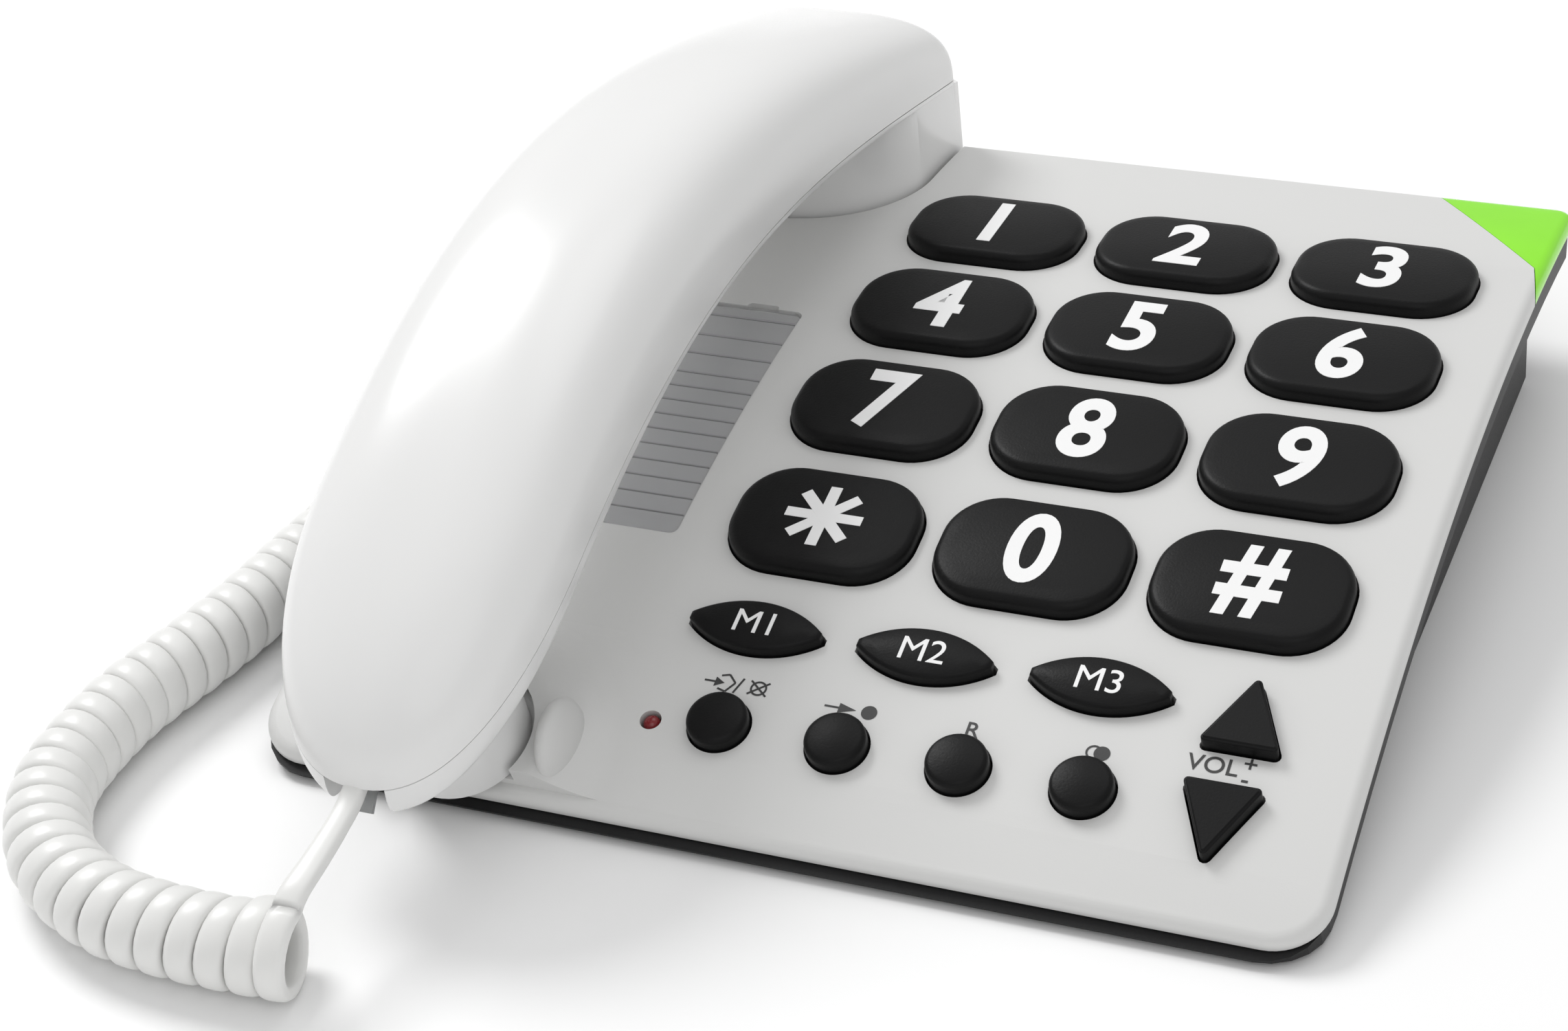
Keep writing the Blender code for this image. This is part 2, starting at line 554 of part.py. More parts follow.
def make_base_insides(deck):
    tilt = Matrix.Translation((0.0, PCB_TOP[0], PCB_TOP[1])) @ Matrix.Rotation(PCB_SLOPE, 4, "X")
    board = box((-0.0440, -PCB_LENGTH, -PCB_THICKNESS), (0.0450, -0.0050, 0.0))
    sheet = box((-0.0430, -PCB_LENGTH + 0.0010, GAP), (0.0440, -0.0060, GAP + MAT_THICKNESS))
    for piece in (board, sheet):
        hole = transform(cylinder(0.0046, -0.03, 0.03, sides=12), tilt.inverted() @ deck_matrix(*SCREW_PLACES[1][::-1]))
        cut(piece, hole)
    finish(transform(board, tilt), "main_circuit_board", material("circuit_board", (0.02, 0.16, 0.06), 0.5), deck)
    finish(transform(sheet, tilt), "keypad_contact_mat", rubber(), deck)

    led = turned([(0.0, 0.0014), (0.0009, 0.0012), (LED_RADIUS, 0.0004), (LED_RADIUS, -0.0036), (0.0, -0.0036)], 12)
    finish(transform(led, deck_matrix(LED_AT[1], LED_AT[0], -0.0006)), "memory_lamp",
           material("red_lens", (0.35, 0.02, 0.02), 0.2), deck)

    card = extruded(rounded_rect((CARD_X[0], CARD_S[0]), (CARD_X[1], CARD_S[1]), [0.0012] * 4, 2), -0.0010, -0.0007)
    finish(wrap(card), "index_card", material("paper", (0.42, 0.42, 0.42), 0.8), deck)
    cover = extruded(rounded_rect((CARD_X[0], CARD_S[0]), (CARD_X[1], CARD_S[1]), [0.0012] * 4, 2), -0.0004, 0.0)
    finish(wrap(cover), "index_card_cover", clear_plastic(), deck)

    # hook: plunger under the ear cup, the lever it presses and the switch behind it
    hook_frame = deck_matrix(HOOK_AT[1], HOOK_AT[0])
    top = -WELL_DEPTH
    plunger = turned([(0.0, top), (0.0020, top - 0.0002), (0.0025, top - 0.0010), (0.0025, -0.0098), (0.0050, -0.0098),
                      (0.0050, -0.0112), (0.0018, -0.0112), (0.0018, -0.0130), (0.0, -0.0130)], 14)
    finish(transform(plunger, hook_frame), "hook_plunger", material("hook_plastic", (0.6, 0.6, 0.58), 0.4), deck,
           origin=hook_frame.translation)
    tip_y, tip_z = hook_frame.translation.y + 0.0005, hook_frame.translation.z - 0.0136
    lever = box((HOOK_AT[0] - 0.0030, HOOK_PIVOT[0] - 0.0010, tip_z - 0.0014),
                (HOOK_AT[0] + 0.0030, tip_y + 0.0010, tip_z))
    hub = cylinder(0.0024, -0.0045, 0.0045, sides=12)
    transform(hub, Matrix.Translation((HOOK_AT[0], *HOOK_PIVOT)) @ Matrix.Rotation(math.pi / 2, 4, "Y"))
    join(lever, hub)
    pin_hole = transform(cylinder(0.0010, -0.02, 0.02, sides=12),
                         Matrix.Translation((HOOK_AT[0], *HOOK_PIVOT)) @ Matrix.Rotation(math.pi / 2, 4, "Y"))
    cut(lever, pin_hole)
    finish(lever, "hook_lever", material("hook_plastic", (0.6, 0.6, 0.58), 0.4), deck,
           origin=Vector((HOOK_AT[0], *HOOK_PIVOT)))
    pin = cylinder(0.0007, -0.0085, 0.0085, sides=10)
    transform(pin, Matrix.Translation((HOOK_AT[0], *HOOK_PIVOT)) @ Matrix.Rotation(math.pi / 2, 4, "Y"))
    finish(pin, "hook_lever_pin", steel(), deck)
    switch = box((HOOK_AT[0] - 0.0040, 0.0345, -0.0290), (HOOK_AT[0] + 0.0040, 0.0450, tip_z - 0.0014 - 0.0040), 0.0004)
    finish(switch, "hook_switch", material("switch_black", (0.02, 0.02, 0.02), 0.5), deck)

    # ringer, ballast, sockets and switch
    floor_y = RINGER_AT[1]
    floor = table_level(floor_y, FOOT_HEIGHT + WALL + GAP)
    speaker = turned([(0.0, 0.0062), (0.0060, 0.0062), (0.0070, 0.0030), (0.0120, 0.0024), (0.0120, 0.0), (0.0, 0.0)], 20)
    finish(transform(speaker, Matrix.Translation((*RINGER_AT, floor)) @ TABLE_SLOPE), "ringer_speaker", steel(), deck)
    ballast = table_box((-0.0980, -0.0600), (-0.0550, 0.0100), (FOOT_HEIGHT + WALL + GAP, FOOT_HEIGHT + WALL + 0.0040))
    finish(ballast, "ballast_weight", steel(), deck)
    line_jack = box((LINE_JACK_X - 0.0063, 0.0360, JACK_Z - 0.0047), (LINE_JACK_X + 0.0063, BODY_REAR - 0.0004, JACK_Z + 0.0047))
    cut(line_jack, box((LINE_JACK_X - 0.0049, 0.0400, JACK_Z - 0.0034), (LINE_JACK_X + 0.0049, 0.06, JACK_Z + 0.0034)))
    finish(line_jack, "line_socket", dark_casing(), deck)
    wall_x = LEFT + BODY_INSET
    cord_jack = box((wall_x + 0.0004, CORD_JACK_Y - 0.0055, JACK_Z - 0.0047), (wall_x + 0.0155, CORD_JACK_Y + 0.0055, JACK_Z + 0.0047))
    cut(cord_jack, box((wall_x - 0.01, CORD_JACK_Y - 0.0042, JACK_Z - 0.0040), (wall_x + 0.0130, CORD_JACK_Y + 0.0042, JACK_Z + 0.0034)))
    finish(cord_jack, "base_cord_socket", dark_casing(), deck)
    plug_frame = Matrix.Translation((wall_x - 0.0060, CORD_JACK_Y, JACK_Z)) @ Matrix.Rotation(-math.pi / 2, 4, "Z")
    finish(transform(make_plug(), plug_frame), "base_plug", clear_plastic(), deck)
    slider = box((SWITCH_X - 0.0050, BODY_REAR - 0.0045, JACK_Z - 0.0026), (SWITCH_X + 0.0050, BODY_REAR - WALL - GAP, JACK_Z + 0.0026))
    join(slider, box((SWITCH_X - 0.0012, BODY_REAR - 0.0030, JACK_Z - 0.0012), (SWITCH_X + 0.0012, BODY_REAR + 0.0012, JACK_Z + 0.0012)))
    transform(slider, Matrix.Translation((-0.0040, 0.0, 0.0)))
    finish(slider, "ringer_volume_slider", material("hook_plastic", (0.6, 0.6, 0.58), 0.4), deck)

    for i, (x, s) in enumerate(SCREW_PLACES):
        head = screw_head_level(s)
        screw = turned([(0.0, -0.0020), (0.0010, -0.0024), (0.0010, head + 0.0018), (0.0023, head + 0.0018),
                        (0.0023, head + 0.0004), (0.0, head + 0.0004)], 10)
        finish(transform(screw, deck_matrix(s, x)), f"base_screw_{i + 1}", steel(), deck)


def make_feet(deck):
    for name, (x, y) in FEET.items():
        foot = cylinder(0.0045, 0.0, FOOT_HEIGHT - GAP, sides=14)
        place = Matrix.Translation((x, y, table_level(y, 0.0))) @ TABLE_SLOPE
        finish(transform(foot, place), name, rubber(), deck)


# ---- handset ----
def seam_z(y):
    """Height of the joint between the handset's halves: an arch that flattens towards the ear."""
    u = y + 0.040
    return 0.029 - u * u / 0.350 + (10.0 * u ** 3 if u > 0 else 0.0)


def half_width(y, inset=0.0):
    nose = min(1.0, max(0.0, (HANDSET_FRONT + NOSE_LENGTH - y) / (NOSE_LENGTH - inset)))
    tail = min(1.0, max(0.0, (y - HANDSET_REAR + TAIL_LENGTH) / (TAIL_LENGTH - inset)))
    width = HANDSET_HALF_WIDTH - inset
    return width * (1 - nose ** 2.3) ** (1 / 2.3) * (1 - tail ** 4) ** (1 / 4)


def crown(y):
    """How far the upper half rises above the seam."""
    t = (y - HANDSET_FRONT) / (HANDSET_REAR - HANDSET_FRONT)
    return 0.0115 + 0.0320 * t * (1 - t) + 0.0020 * t


def keel(y):
    """How far the lower half hangs below the seam."""
    t = (y - HANDSET_FRONT) / (HANDSET_REAR - HANDSET_FRONT)
    return 0.0034 + 0.0078 * max(0.0, 1 - 2.2 * t) ** 1.2


def handset_half(depth, power, inset, direction, rings=6, stations=26, seam_gap=0.0):
    """Rings that climb from the seam outline to the spine; returns the bmesh and its rim ring."""
    front, rear = HANDSET_FRONT + inset, HANDSET_REAR - inset
    outline = []
    for i in range(stations + 1):
        t = (1 - math.cos(math.pi * i / stations)) / 2
        y = front + (rear - front) * t
        outline.append((half_width(y, inset), y))
    outline[0] = (0.0, front)
    outline[-1] = (0.0, rear)
    loop = outline + [(-w, y) for w, y in reversed(outline[1:-1])]
    spine_low, spine_high = front + 0.60 * NOSE_LENGTH, rear - 0.014
    bm = bmesh.new()
    made = []
    for k in range(rings + 1):
        phi = math.radians(84) * k / rings
        reach = math.cos(phi) ** (2 / power)
        rise = math.sin(phi) ** (2 / power) if k else 0.0
        ring = []
        for w, y in loop:
            spine = min(spine_high, max(spine_low, y))
            x = w * reach
            yy = spine + (y - spine) * reach
            z = seam_z(yy) + direction * (seam_gap + (depth(yy) - inset) * rise)
            ring.append(bm.verts.new((HANDSET_X + x, yy, z)))
        made.append(ring)
    count = len(loop)
    for low, high in zip(made, made[1:]):
        for i in range(count):
            j = (i + 1) % count
            bm.faces.new((low[i], low[j], high[j], high[i]))
    last = made[-1]
    for i in range(stations):
        a, b = i, i + 1
        c, d = (count - b) % count, (count - a) % count
        corners = []
        for index in (a, b, c, d):
            if last[index] not in corners:
                corners.append(last[index])
        if len(corners) > 2:
            bm.faces.new(corners)
    return bm, made[0]


def handset_shell(depth, power, direction):
    """One half of the handset as a closed shell: outer skin, inner skin and the rim between them."""
    bm, rim = handset_half(depth, power, 0.0, direction, seam_gap=GAP / 2)
    inner, inner_rim = handset_half(depth, power, HANDSET_WALL, direction, rings=4, seam_gap=GAP / 2)
    index = {v: i for i, v in enumerate(inner.verts)}
    inner.verts.index_update()
    copies = [bm.verts.new(v.co) for v in inner.verts]
    for face in inner.faces:
        bm.faces.new([copies[v.index] for v in reversed(face.verts)])
    inner_ring = [copies[index[v]] for v in inner_rim]
    inner.free()
    for i in range(len(rim)):
        j = (i + 1) % len(rim)
        bm.faces.new((rim[i], rim[j], inner_ring[j], inner_ring[i]))
    return from_bmesh(bm, "half")


def handset_solid(depth, power, direction, inset, rim_level):
    """The body of a half, or the room inside it, closed by a lid at a height above the seam."""
    bm, rim = handset_half(depth, power, inset, direction)
    lid = [bm.verts.new(v.co + Vector((0.0, 0.0, rim_level))) for v in rim]
    count = len(rim)
    if rim_level > 0:
        for i in range(count):
            j = (i + 1) % count
            bm.faces.new((rim[i], rim[j], lid[j], lid[i]))
    else:
        for v, top in zip(rim, lid):
            v.co = top.co
        bmesh.ops.delete(bm, geom=lid, context="VERTS")
        lid = rim
    half = count // 2
    for i in range(half):
        corners = []
        for index in (i, i + 1, (count - i - 1) % count, (count - i) % count):
            if lid[index] not in corners:
                corners.append(lid[index])
        bm.faces.new(corners)
    return from_bmesh(bm, "space")


def handset_roof():
    """Everything below a sheet that lies a little above the seam, to trim what joins the lower half."""
    count = 24
    outline = [(HANDSET_FRONT - 0.02 + (HANDSET_REAR - HANDSET_FRONT + 0.04) * i / count) for i in range(count + 1)]
    points = [(y, seam_z(y) - 0.0010) for y in outline] + [(HANDSET_REAR + 0.02, -0.08), (HANDSET_FRONT - 0.02, -0.08)]
    slab = extruded(points, -0.05, 0.05)
    upright = Matrix(((0, 0, 1, HANDSET_X), (1, 0, 0, 0), (0, 1, 0, 0), (0, 0, 0, 1)))
    return transform(slab, upright)


def cup_outline(inset=0.0):
    radius = EAR_RADIUS - inset
    rear = HANDSET_REAR - inset
    return (arc(HANDSET_X, EAR_CENTRE_S, radius, 180, 360, 16)
            + [(HANDSET_X + radius, rear - 0.001), (HANDSET_X + radius - 0.001, rear),
               (HANDSET_X - radius + 0.001, rear), (HANDSET_X - radius, rear - 0.001)])


def at_tip(obj):
    """Place a shape drawn with +Y along the cord socket's axis, inward from the handset's nose."""
    return transform(obj, Matrix.Translation(SOCKET_MOUTH) @ Matrix.Rotation(SOCKET_PITCH, 4, "X"))


def underside_z(y):
    return seam_z(y) - keel(y)


def make_handset(deck):
    upper = handset_shell(crown, 2.9, 1.0)
    lower = handset_solid(keel, 3.0, -1.0, 0.0, rim_level=-GAP / 2)
    mouth = deck_matrix(MOUTH_S, HANDSET_X)
    # ear cup, which hangs into the well, and the mouth boss, which stands in the cradle's cup
    cup = extruded(cup_outline(), -0.030, 0.0300)
    cut(cup, under_deck(WELL_DEPTH - GAP))
    boolean(cup, handset_roof(), "INTERSECT")
    shaft = transform(cylinder(MOUTH_RADIUS, CRADLE_FLOOR + GAP, 0.0300, sides=20, top_radius=0.0125), mouth)
    boolean(shaft, handset_roof(), "INTERSECT")
    join(lower, cup, shaft)
    space = handset_solid(keel, 3.0, -1.0, HANDSET_WALL, rim_level=0.001)
    cup_room = extruded(cup_outline(HANDSET_WALL), -0.030, 0.0300)
    cut(cup_room, under_deck(WELL_DEPTH - GAP - HANDSET_WALL))
    shaft_room = transform(cylinder(MOUTH_RADIUS - HANDSET_WALL, CRADLE_FLOOR + GAP + HANDSET_WALL, 0.0285, sides=20,
                                    top_radius=0.0125 - HANDSET_WALL), mouth)
    join(space, cup_room, shaft_room)
    cut(lower, space)
    cut(lower, box((SOCKET_MOUTH.x - 0.0053, -0.160, -0.030), (SOCKET_MOUTH.x + 0.0053, -0.1250, 0.020)))
    for y in HANDSET_SCREWS_Y:
        low, seam, roof = underside_z(y), seam_z(y), seam_z(y) + crown(y)
        join(upper, cylinder(0.0032, seam + 0.0008, roof - HANDSET_WALL / 2, at=(HANDSET_X, y), sides=10))
        cut(upper, cylinder(0.0013, seam - 0.001, seam + 0.0090, at=(HANDSET_X, y), sides=8))
        join(lower, cylinder(0.0042, low + 0.0010, seam + 0.0005, at=(HANDSET_X, y), sides=12))
        cut(lower, cylinder(0.0016, low - 0.005, seam + 0.005, at=(HANDSET_X, y), sides=10),
            cylinder(0.0027, low - 0.005, low + 0.0026, at=(HANDSET_X, y), sides=10))
        screw = turned([(0.0, seam + 0.0080), (0.0010, seam + 0.0076), (0.0010, low + 0.0023), (0.0023, low + 0.0023),
                        (0.0023, low + 0.0008), (0.0, low + 0.0008)], 10)
        transform(screw, Matrix.Translation((HANDSET_X, y, 0.0)))
        finish(screw, f"handset_screw_{HANDSET_SCREWS_Y.index(y) + 1}", steel(), deck)
    ear = deck_matrix(EAR_CENTRE_S - 0.0020, HANDSET_X)
    grille = []
    for i in range(7):
        reach = 0.0 if i == 6 else 0.0060
        angle = math.radians(60 * i + 30)
        grille.append(transform(cylinder(0.0011, -0.006, 0.004, at=(reach * math.cos(angle), reach * math.sin(angle)),
                                         sides=8), ear))
    cut(lower, merged(grille))
    cut(lower, transform(cylinder(0.0011, -0.01, 0.006, sides=8), mouth))
    finish(upper, "handset_upper_shell", white(), deck, sharp=40)
    finish(lower, "handset_lower_shell", white(), deck, sharp=40)

    receiver_low = -WELL_DEPTH + GAP + HANDSET_WALL + GAP + 0.0001
    receiver = turned([(0.0, receiver_low + 0.0070), (0.0085, receiver_low + 0.0070), (0.0095, receiver_low + 0.0030),
                       (0.0165, receiver_low + 0.0024), (0.0165, receiver_low), (0.0, receiver_low)], 24)
    finish(transform(receiver, ear), "receiver_capsule", steel(), deck)
    mic_low = CRADLE_FLOOR + GAP + HANDSET_WALL + GAP
    microphone = cylinder(0.0048, mic_low, mic_low + 0.0040, sides=16)
    finish(transform(microphone, mouth), "microphone_capsule", steel(), deck)
    weight = box((HANDSET_X - 0.0100, -0.0650, 0.0282), (HANDSET_X + 0.0100, -0.0150, 0.0342), 0.0005)
    finish(weight, "handset_weight", steel(), deck)

    socket = box((-0.0048, 0.0080, -0.0040), (0.0048, 0.0215, 0.0038))
    cut(socket, box((-0.0040, -0.01, -0.0032), (0.0040, 0.0200, 0.0032)))
    finish(at_tip(socket), "handset_cord_socket", dark_casing(), deck)
    finish(at_tip(make_plug()), "handset_plug", clear_plastic(), deck)


def make_plug():
    """Modular plug along Y: body in its socket, latch tab below it and a mouth for the lead."""
    plug = box((-0.0037, 0.0052, -0.0022), (0.0037, 0.0170, 0.0028), 0.0003)
    join(plug, box((-0.0016, 0.0070, -0.0030), (0.0016, 0.0160, -0.0020)))
    latch = box((-0.0015, -0.0095, -0.0004), (0.0015, 0.0004, 0.0004))
    transform(latch, Matrix.Translation((0.0, 0.0078, -0.0026)) @ Matrix.Rotation(math.radians(17), 4, "X"))
    join(plug, latch)
    return plug


# ---- cords, drawn in world coordinates ----
def tube(name, points, diameter, steps):
    """A round tube along a smooth curve through the given points."""
    knots = [Vector(p) + CORD_SHIFT for p in points]
    knots = [2 * knots[0] - knots[1]] + knots + [2 * knots[-1] - knots[-2]]
    path = []
    for a, b, c, d in zip(knots, knots[1:], knots[2:], knots[3:]):
        for i in range(steps):
            t = i / steps
            path.append(0.5 * (2 * b + (c - a) * t + (2 * a - 5 * b + 4 * c - d) * t * t
                               + (3 * b - 3 * c + d - a) * t ** 3))
    path.append(knots[-2])
    curve = bpy.data.curves.new(name, "CURVE")
    curve.dimensions = "3D"
    curve.bevel_depth = diameter / 2
    curve.bevel_resolution = 2
    curve.use_fill_caps = True
    spline = curve.splines.new("POLY")
    spline.points.add(len(path) - 1)
    for point, place in zip(spline.points, path):
        point.co = (*place, 1.0)
    obj = bpy.data.objects.new(name, curve)
    curve.materials.append(cord_grey())
    COLLECTION.objects.link(obj)


def make_cords():
    tube("cord_coil", [(x, y, COIL_HEIGHT) for x, y in COIL_ROUTE], COIL_DIAMETER, 1)
    tube("handset_lead", HANDSET_LEAD_ROUTE, CORD_WIDTH, 2)
    tube("base_lead", BASE_LEAD_ROUTE, CORD_WIDTH, 2)


def build():
    clear_scene()
    deck = bpy.data.objects.new("deck_frame", None)
    deck.location = DECK_ORIGIN
    deck.rotation_euler.x = DECK_TILT
    COLLECTION.objects.link(deck)
    make_casing_and_lens(deck)
    make_lower_casing(deck)
    make_base_insides(deck)
    make_feet(deck)
    for name, kind, x, s, turn in keys():
        make_key(name, kind, x, s, turn, deck)
    make_handset(deck)
    make_cords()


build()
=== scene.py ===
"""Looks of the corded big-button desk telephone, in the same frame as its CAD assembly.

The casing, keys and handset are rebuilt here at a finer step from the same driving dimensions as the
CAD, in the same deck coordinates: (x, s, n) with s the arc length along the curved deck.
"""

import math

import bmesh
import bpy
from mathutils import Matrix, Vector


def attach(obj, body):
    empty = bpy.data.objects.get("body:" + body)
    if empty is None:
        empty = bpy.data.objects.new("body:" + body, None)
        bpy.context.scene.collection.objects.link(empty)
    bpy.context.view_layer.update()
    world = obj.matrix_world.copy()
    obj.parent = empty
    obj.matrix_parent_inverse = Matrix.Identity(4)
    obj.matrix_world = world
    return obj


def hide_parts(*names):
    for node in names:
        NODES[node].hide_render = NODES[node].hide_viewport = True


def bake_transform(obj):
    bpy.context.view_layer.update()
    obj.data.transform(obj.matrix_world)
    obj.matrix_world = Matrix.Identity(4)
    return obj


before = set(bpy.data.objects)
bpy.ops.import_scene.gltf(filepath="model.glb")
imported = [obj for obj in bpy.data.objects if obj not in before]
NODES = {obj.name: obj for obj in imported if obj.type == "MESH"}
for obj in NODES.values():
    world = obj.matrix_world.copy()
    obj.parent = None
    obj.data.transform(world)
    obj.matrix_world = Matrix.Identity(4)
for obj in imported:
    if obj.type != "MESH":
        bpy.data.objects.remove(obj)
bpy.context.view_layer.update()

# ---- driving dimensions in metres; shapes shared with the CAD use its values ----
GAP = 0.0003
DECK_RADIUS = 0.360
DECK_TILT = math.radians(3.0)
DECK_ORIGIN = Vector((0.0270, 0.0352, 0.0310))
LEFT, RIGHT = -0.116, 0.062
FRONT_S, REAR_S = -0.1205, 0.0702
PLATE = 0.0025
KEY_PITCH_X, KEY_PITCH_S = 0.0360, 0.0293
KEY_SIZE = (0.0321, 0.0225, 0.0095)
KEY_RISE = 0.0030
KEY_RISES = {"digit": KEY_RISE, "memory": 0.0026, "function": 0.0030, "volume": 0.0026}
KEY_SHOULDERS = {"digit": 0.0016, "memory": 0.0008, "function": 0.0011, "volume": 0.0003}
KEY_DOME = 0.00025              # the cap's middle stands this much above its shoulder
VOLUME_KEY_SIZE = (0.0130, 0.0134)
TRIANGLE_CORNER = 0.0007
LEGEND_SIZES = {"digit": 0.0205, "memory": 0.0064}
LEGEND_SQUEEZE = 0.82           # digits are narrower than the font draws them
LEGEND_THICKNESS = 0.00012
PRINT_STROKE, PRINT_LEVEL, PRINT_THICKNESS = 0.00032, 0.00003, 0.00006
MEMORY_S, FUNCTION_S = -0.0822, -0.1009
HANDSET_X = -0.0793
HANDSET_HALF_WIDTH = 0.0223
HANDSET_FRONT, HANDSET_REAR = -0.142, 0.071
NOSE_LENGTH, TAIL_LENGTH = 0.040, 0.006
EAR_CENTRE_S, EAR_RADIUS = 0.0500, 0.0220
MOUTH_S, MOUTH_RADIUS = -0.1125, 0.0115
WELL_DEPTH = 0.0030
CARD_X, CARD_S = (-0.1000, -0.0612), (-0.0644, -0.0048)
CARD_LINE_HALF = 0.00011
LED_AT, LED_RADIUS = (-0.0506, -0.1022), 0.0015
SOCKET_MOUTH = Vector((-0.0800, -0.1420, -0.0016))
CORD_WIDTH, CORD_THICKNESS, LEAD_WIDTH = 0.0048, 0.0026, 0.0038
CORD_SHIFT = Vector((0.0015, 0.0010, 0.0))
COIL_TURNS = 42
COIL_START, COIL_HAND = 0.0, -1.0
COIL_OUTER, COIL_TAPER = 0.0073, 0.0009      # outer radius, and how much less it is at the base end
FIRST_TURN_EXTRA, FIRST_TURNS = 0.0011, 1.5  # the first turns are wider, and ease off over this many
POINTS_PER_TURN = 26
LEAD_STEP = 0.0012              # spacing of the points along the leads
BLEND_RINGS = 14                # rings over which a lead turns into the coil
CORD_SIDES = 16
CORD_SQUARENESS = 0.7           # 1 is an ellipse, less is squarer
COIL_ROUTE = ((-0.0554, -0.1284), (-0.0642, -0.1293), (-0.0763, -0.1294), (-0.0875, -0.1280),
              (-0.0965, -0.1245), (-0.1042, -0.1191), (-0.1101, -0.1113), (-0.1138, -0.1026),
              (-0.1148, -0.0926), (-0.1144, -0.0818), (-0.1127, -0.0728), (-0.1105, -0.0634),
              (-0.1087, -0.0537), (-0.1076, -0.0450), (-0.1067, -0.0350), (-0.1050, -0.0200),
              (-0.1035, -0.0050), (-0.1025, 0.0100), (-0.1020, 0.0230), (-0.1020, 0.0350))
HANDSET_LEAD_ROUTE = ((-0.0545, -0.1034, 0.0244), (-0.0545, -0.1084, 0.0213), (-0.0545, -0.1125, 0.0201),
                      (-0.0547, -0.1170, 0.0190), (-0.0550, -0.1215, 0.0180), (-0.0552, -0.1255, 0.0173))
BASE_LEAD_ROUTE = ((-0.1020, 0.0368, 0.0075), (-0.1021, 0.0440, 0.0079), (-0.1010, 0.0520, 0.0088),
                   (-0.0982, 0.0592, 0.0099), (-0.0940, 0.0636, 0.0107), (-0.0900, 0.0652, 0.0111),
                   (-0.0868, 0.0653, 0.0112))
DECK = Matrix.Translation(DECK_ORIGIN) @ Matrix.Rotation(DECK_TILT, 4, "X")


# ---- camera ----
def make_camera():
    """From the front right, above, through a long lens."""
    right = Vector((0.92334, 0.37489, -0.08306))
    up = Vector((-0.14175, 0.53382, 0.83363))
    back = Vector((0.35686, -0.75795, 0.54604))
    data = bpy.data.cameras.new("camera")
    data.sensor_width = 36.0
    data.lens = 75.107
    data.clip_start = 0.01
    camera = bpy.data.objects.new("camera", data)
    camera.matrix_world = Matrix(((right.x, up.x, back.x, 0.17666), (right.y, up.y, back.y, -0.43307),
                                  (right.z, up.z, back.z, 0.32013), (0, 0, 0, 1)))
    bpy.context.collection.objects.link(camera)
    bpy.context.scene.camera = camera


# ---- materials ----
def node_material(name, colour, roughness, **inputs):
    """A Principled material with fine surface variation in colour, roughness and bump."""
    grain = inputs.pop("grain", 3500.0)
    bump = inputs.pop("bump", 0.06)
    variation = inputs.pop("variation", 0.03)
    spread = inputs.pop("spread", 0.05)
    made = bpy.data.materials.new(name)
    made.use_nodes = True
    tree = made.node_tree
    shader = tree.nodes["Principled BSDF"]
    shader.inputs["Base Color"].default_value = (*colour, 1.0)
    shader.inputs["Roughness"].default_value = roughness
    for key, value in inputs.items():
        shader.inputs[key.replace("_", " ").title().replace("Ior", "IOR")].default_value = value
    where = tree.nodes.new("ShaderNodeTexCoord")
    cloud = tree.nodes.new("ShaderNodeTexNoise")
    cloud.inputs["Scale"].default_value = 45.0
    cloud.inputs["Detail"].default_value = 3.0
    tree.links.new(where.outputs["Object"], cloud.inputs["Vector"])
    fine = tree.nodes.new("ShaderNodeTexNoise")
    fine.inputs["Scale"].default_value = grain
    fine.inputs["Detail"].default_value = 2.0
    tree.links.new(where.outputs["Object"], fine.inputs["Vector"])
    mix = tree.nodes.new("ShaderNodeMix")
    mix.data_type = "RGBA"
    mix.inputs["A"].default_value = (*[c * (1 - variation) for c in colour], 1.0)
    mix.inputs["B"].default_value = (*[min(1.0, c * (1 + variation)) for c in colour], 1.0)
    tree.links.new(cloud.outputs["Fac"], mix.inputs["Factor"])
    tree.links.new(mix.outputs["Result"], shader.inputs["Base Color"])
    remap = tree.nodes.new("ShaderNodeMapRange")
    remap.inputs["To Min"].default_value = roughness - spread
    remap.inputs["To Max"].default_value = roughness + spread
    tree.links.new(fine.outputs["Fac"], remap.inputs["Value"])
    tree.links.new(remap.outputs["Result"], shader.inputs["Roughness"])
    rise = tree.nodes.new("ShaderNodeBump")
    rise.inputs["Strength"].default_value = bump
    rise.inputs["Distance"].default_value = 0.0001
    tree.links.new(fine.outputs["Fac"], rise.inputs["Height"])
    tree.links.new(rise.outputs["Normal"], shader.inputs["Normal"])
    return made


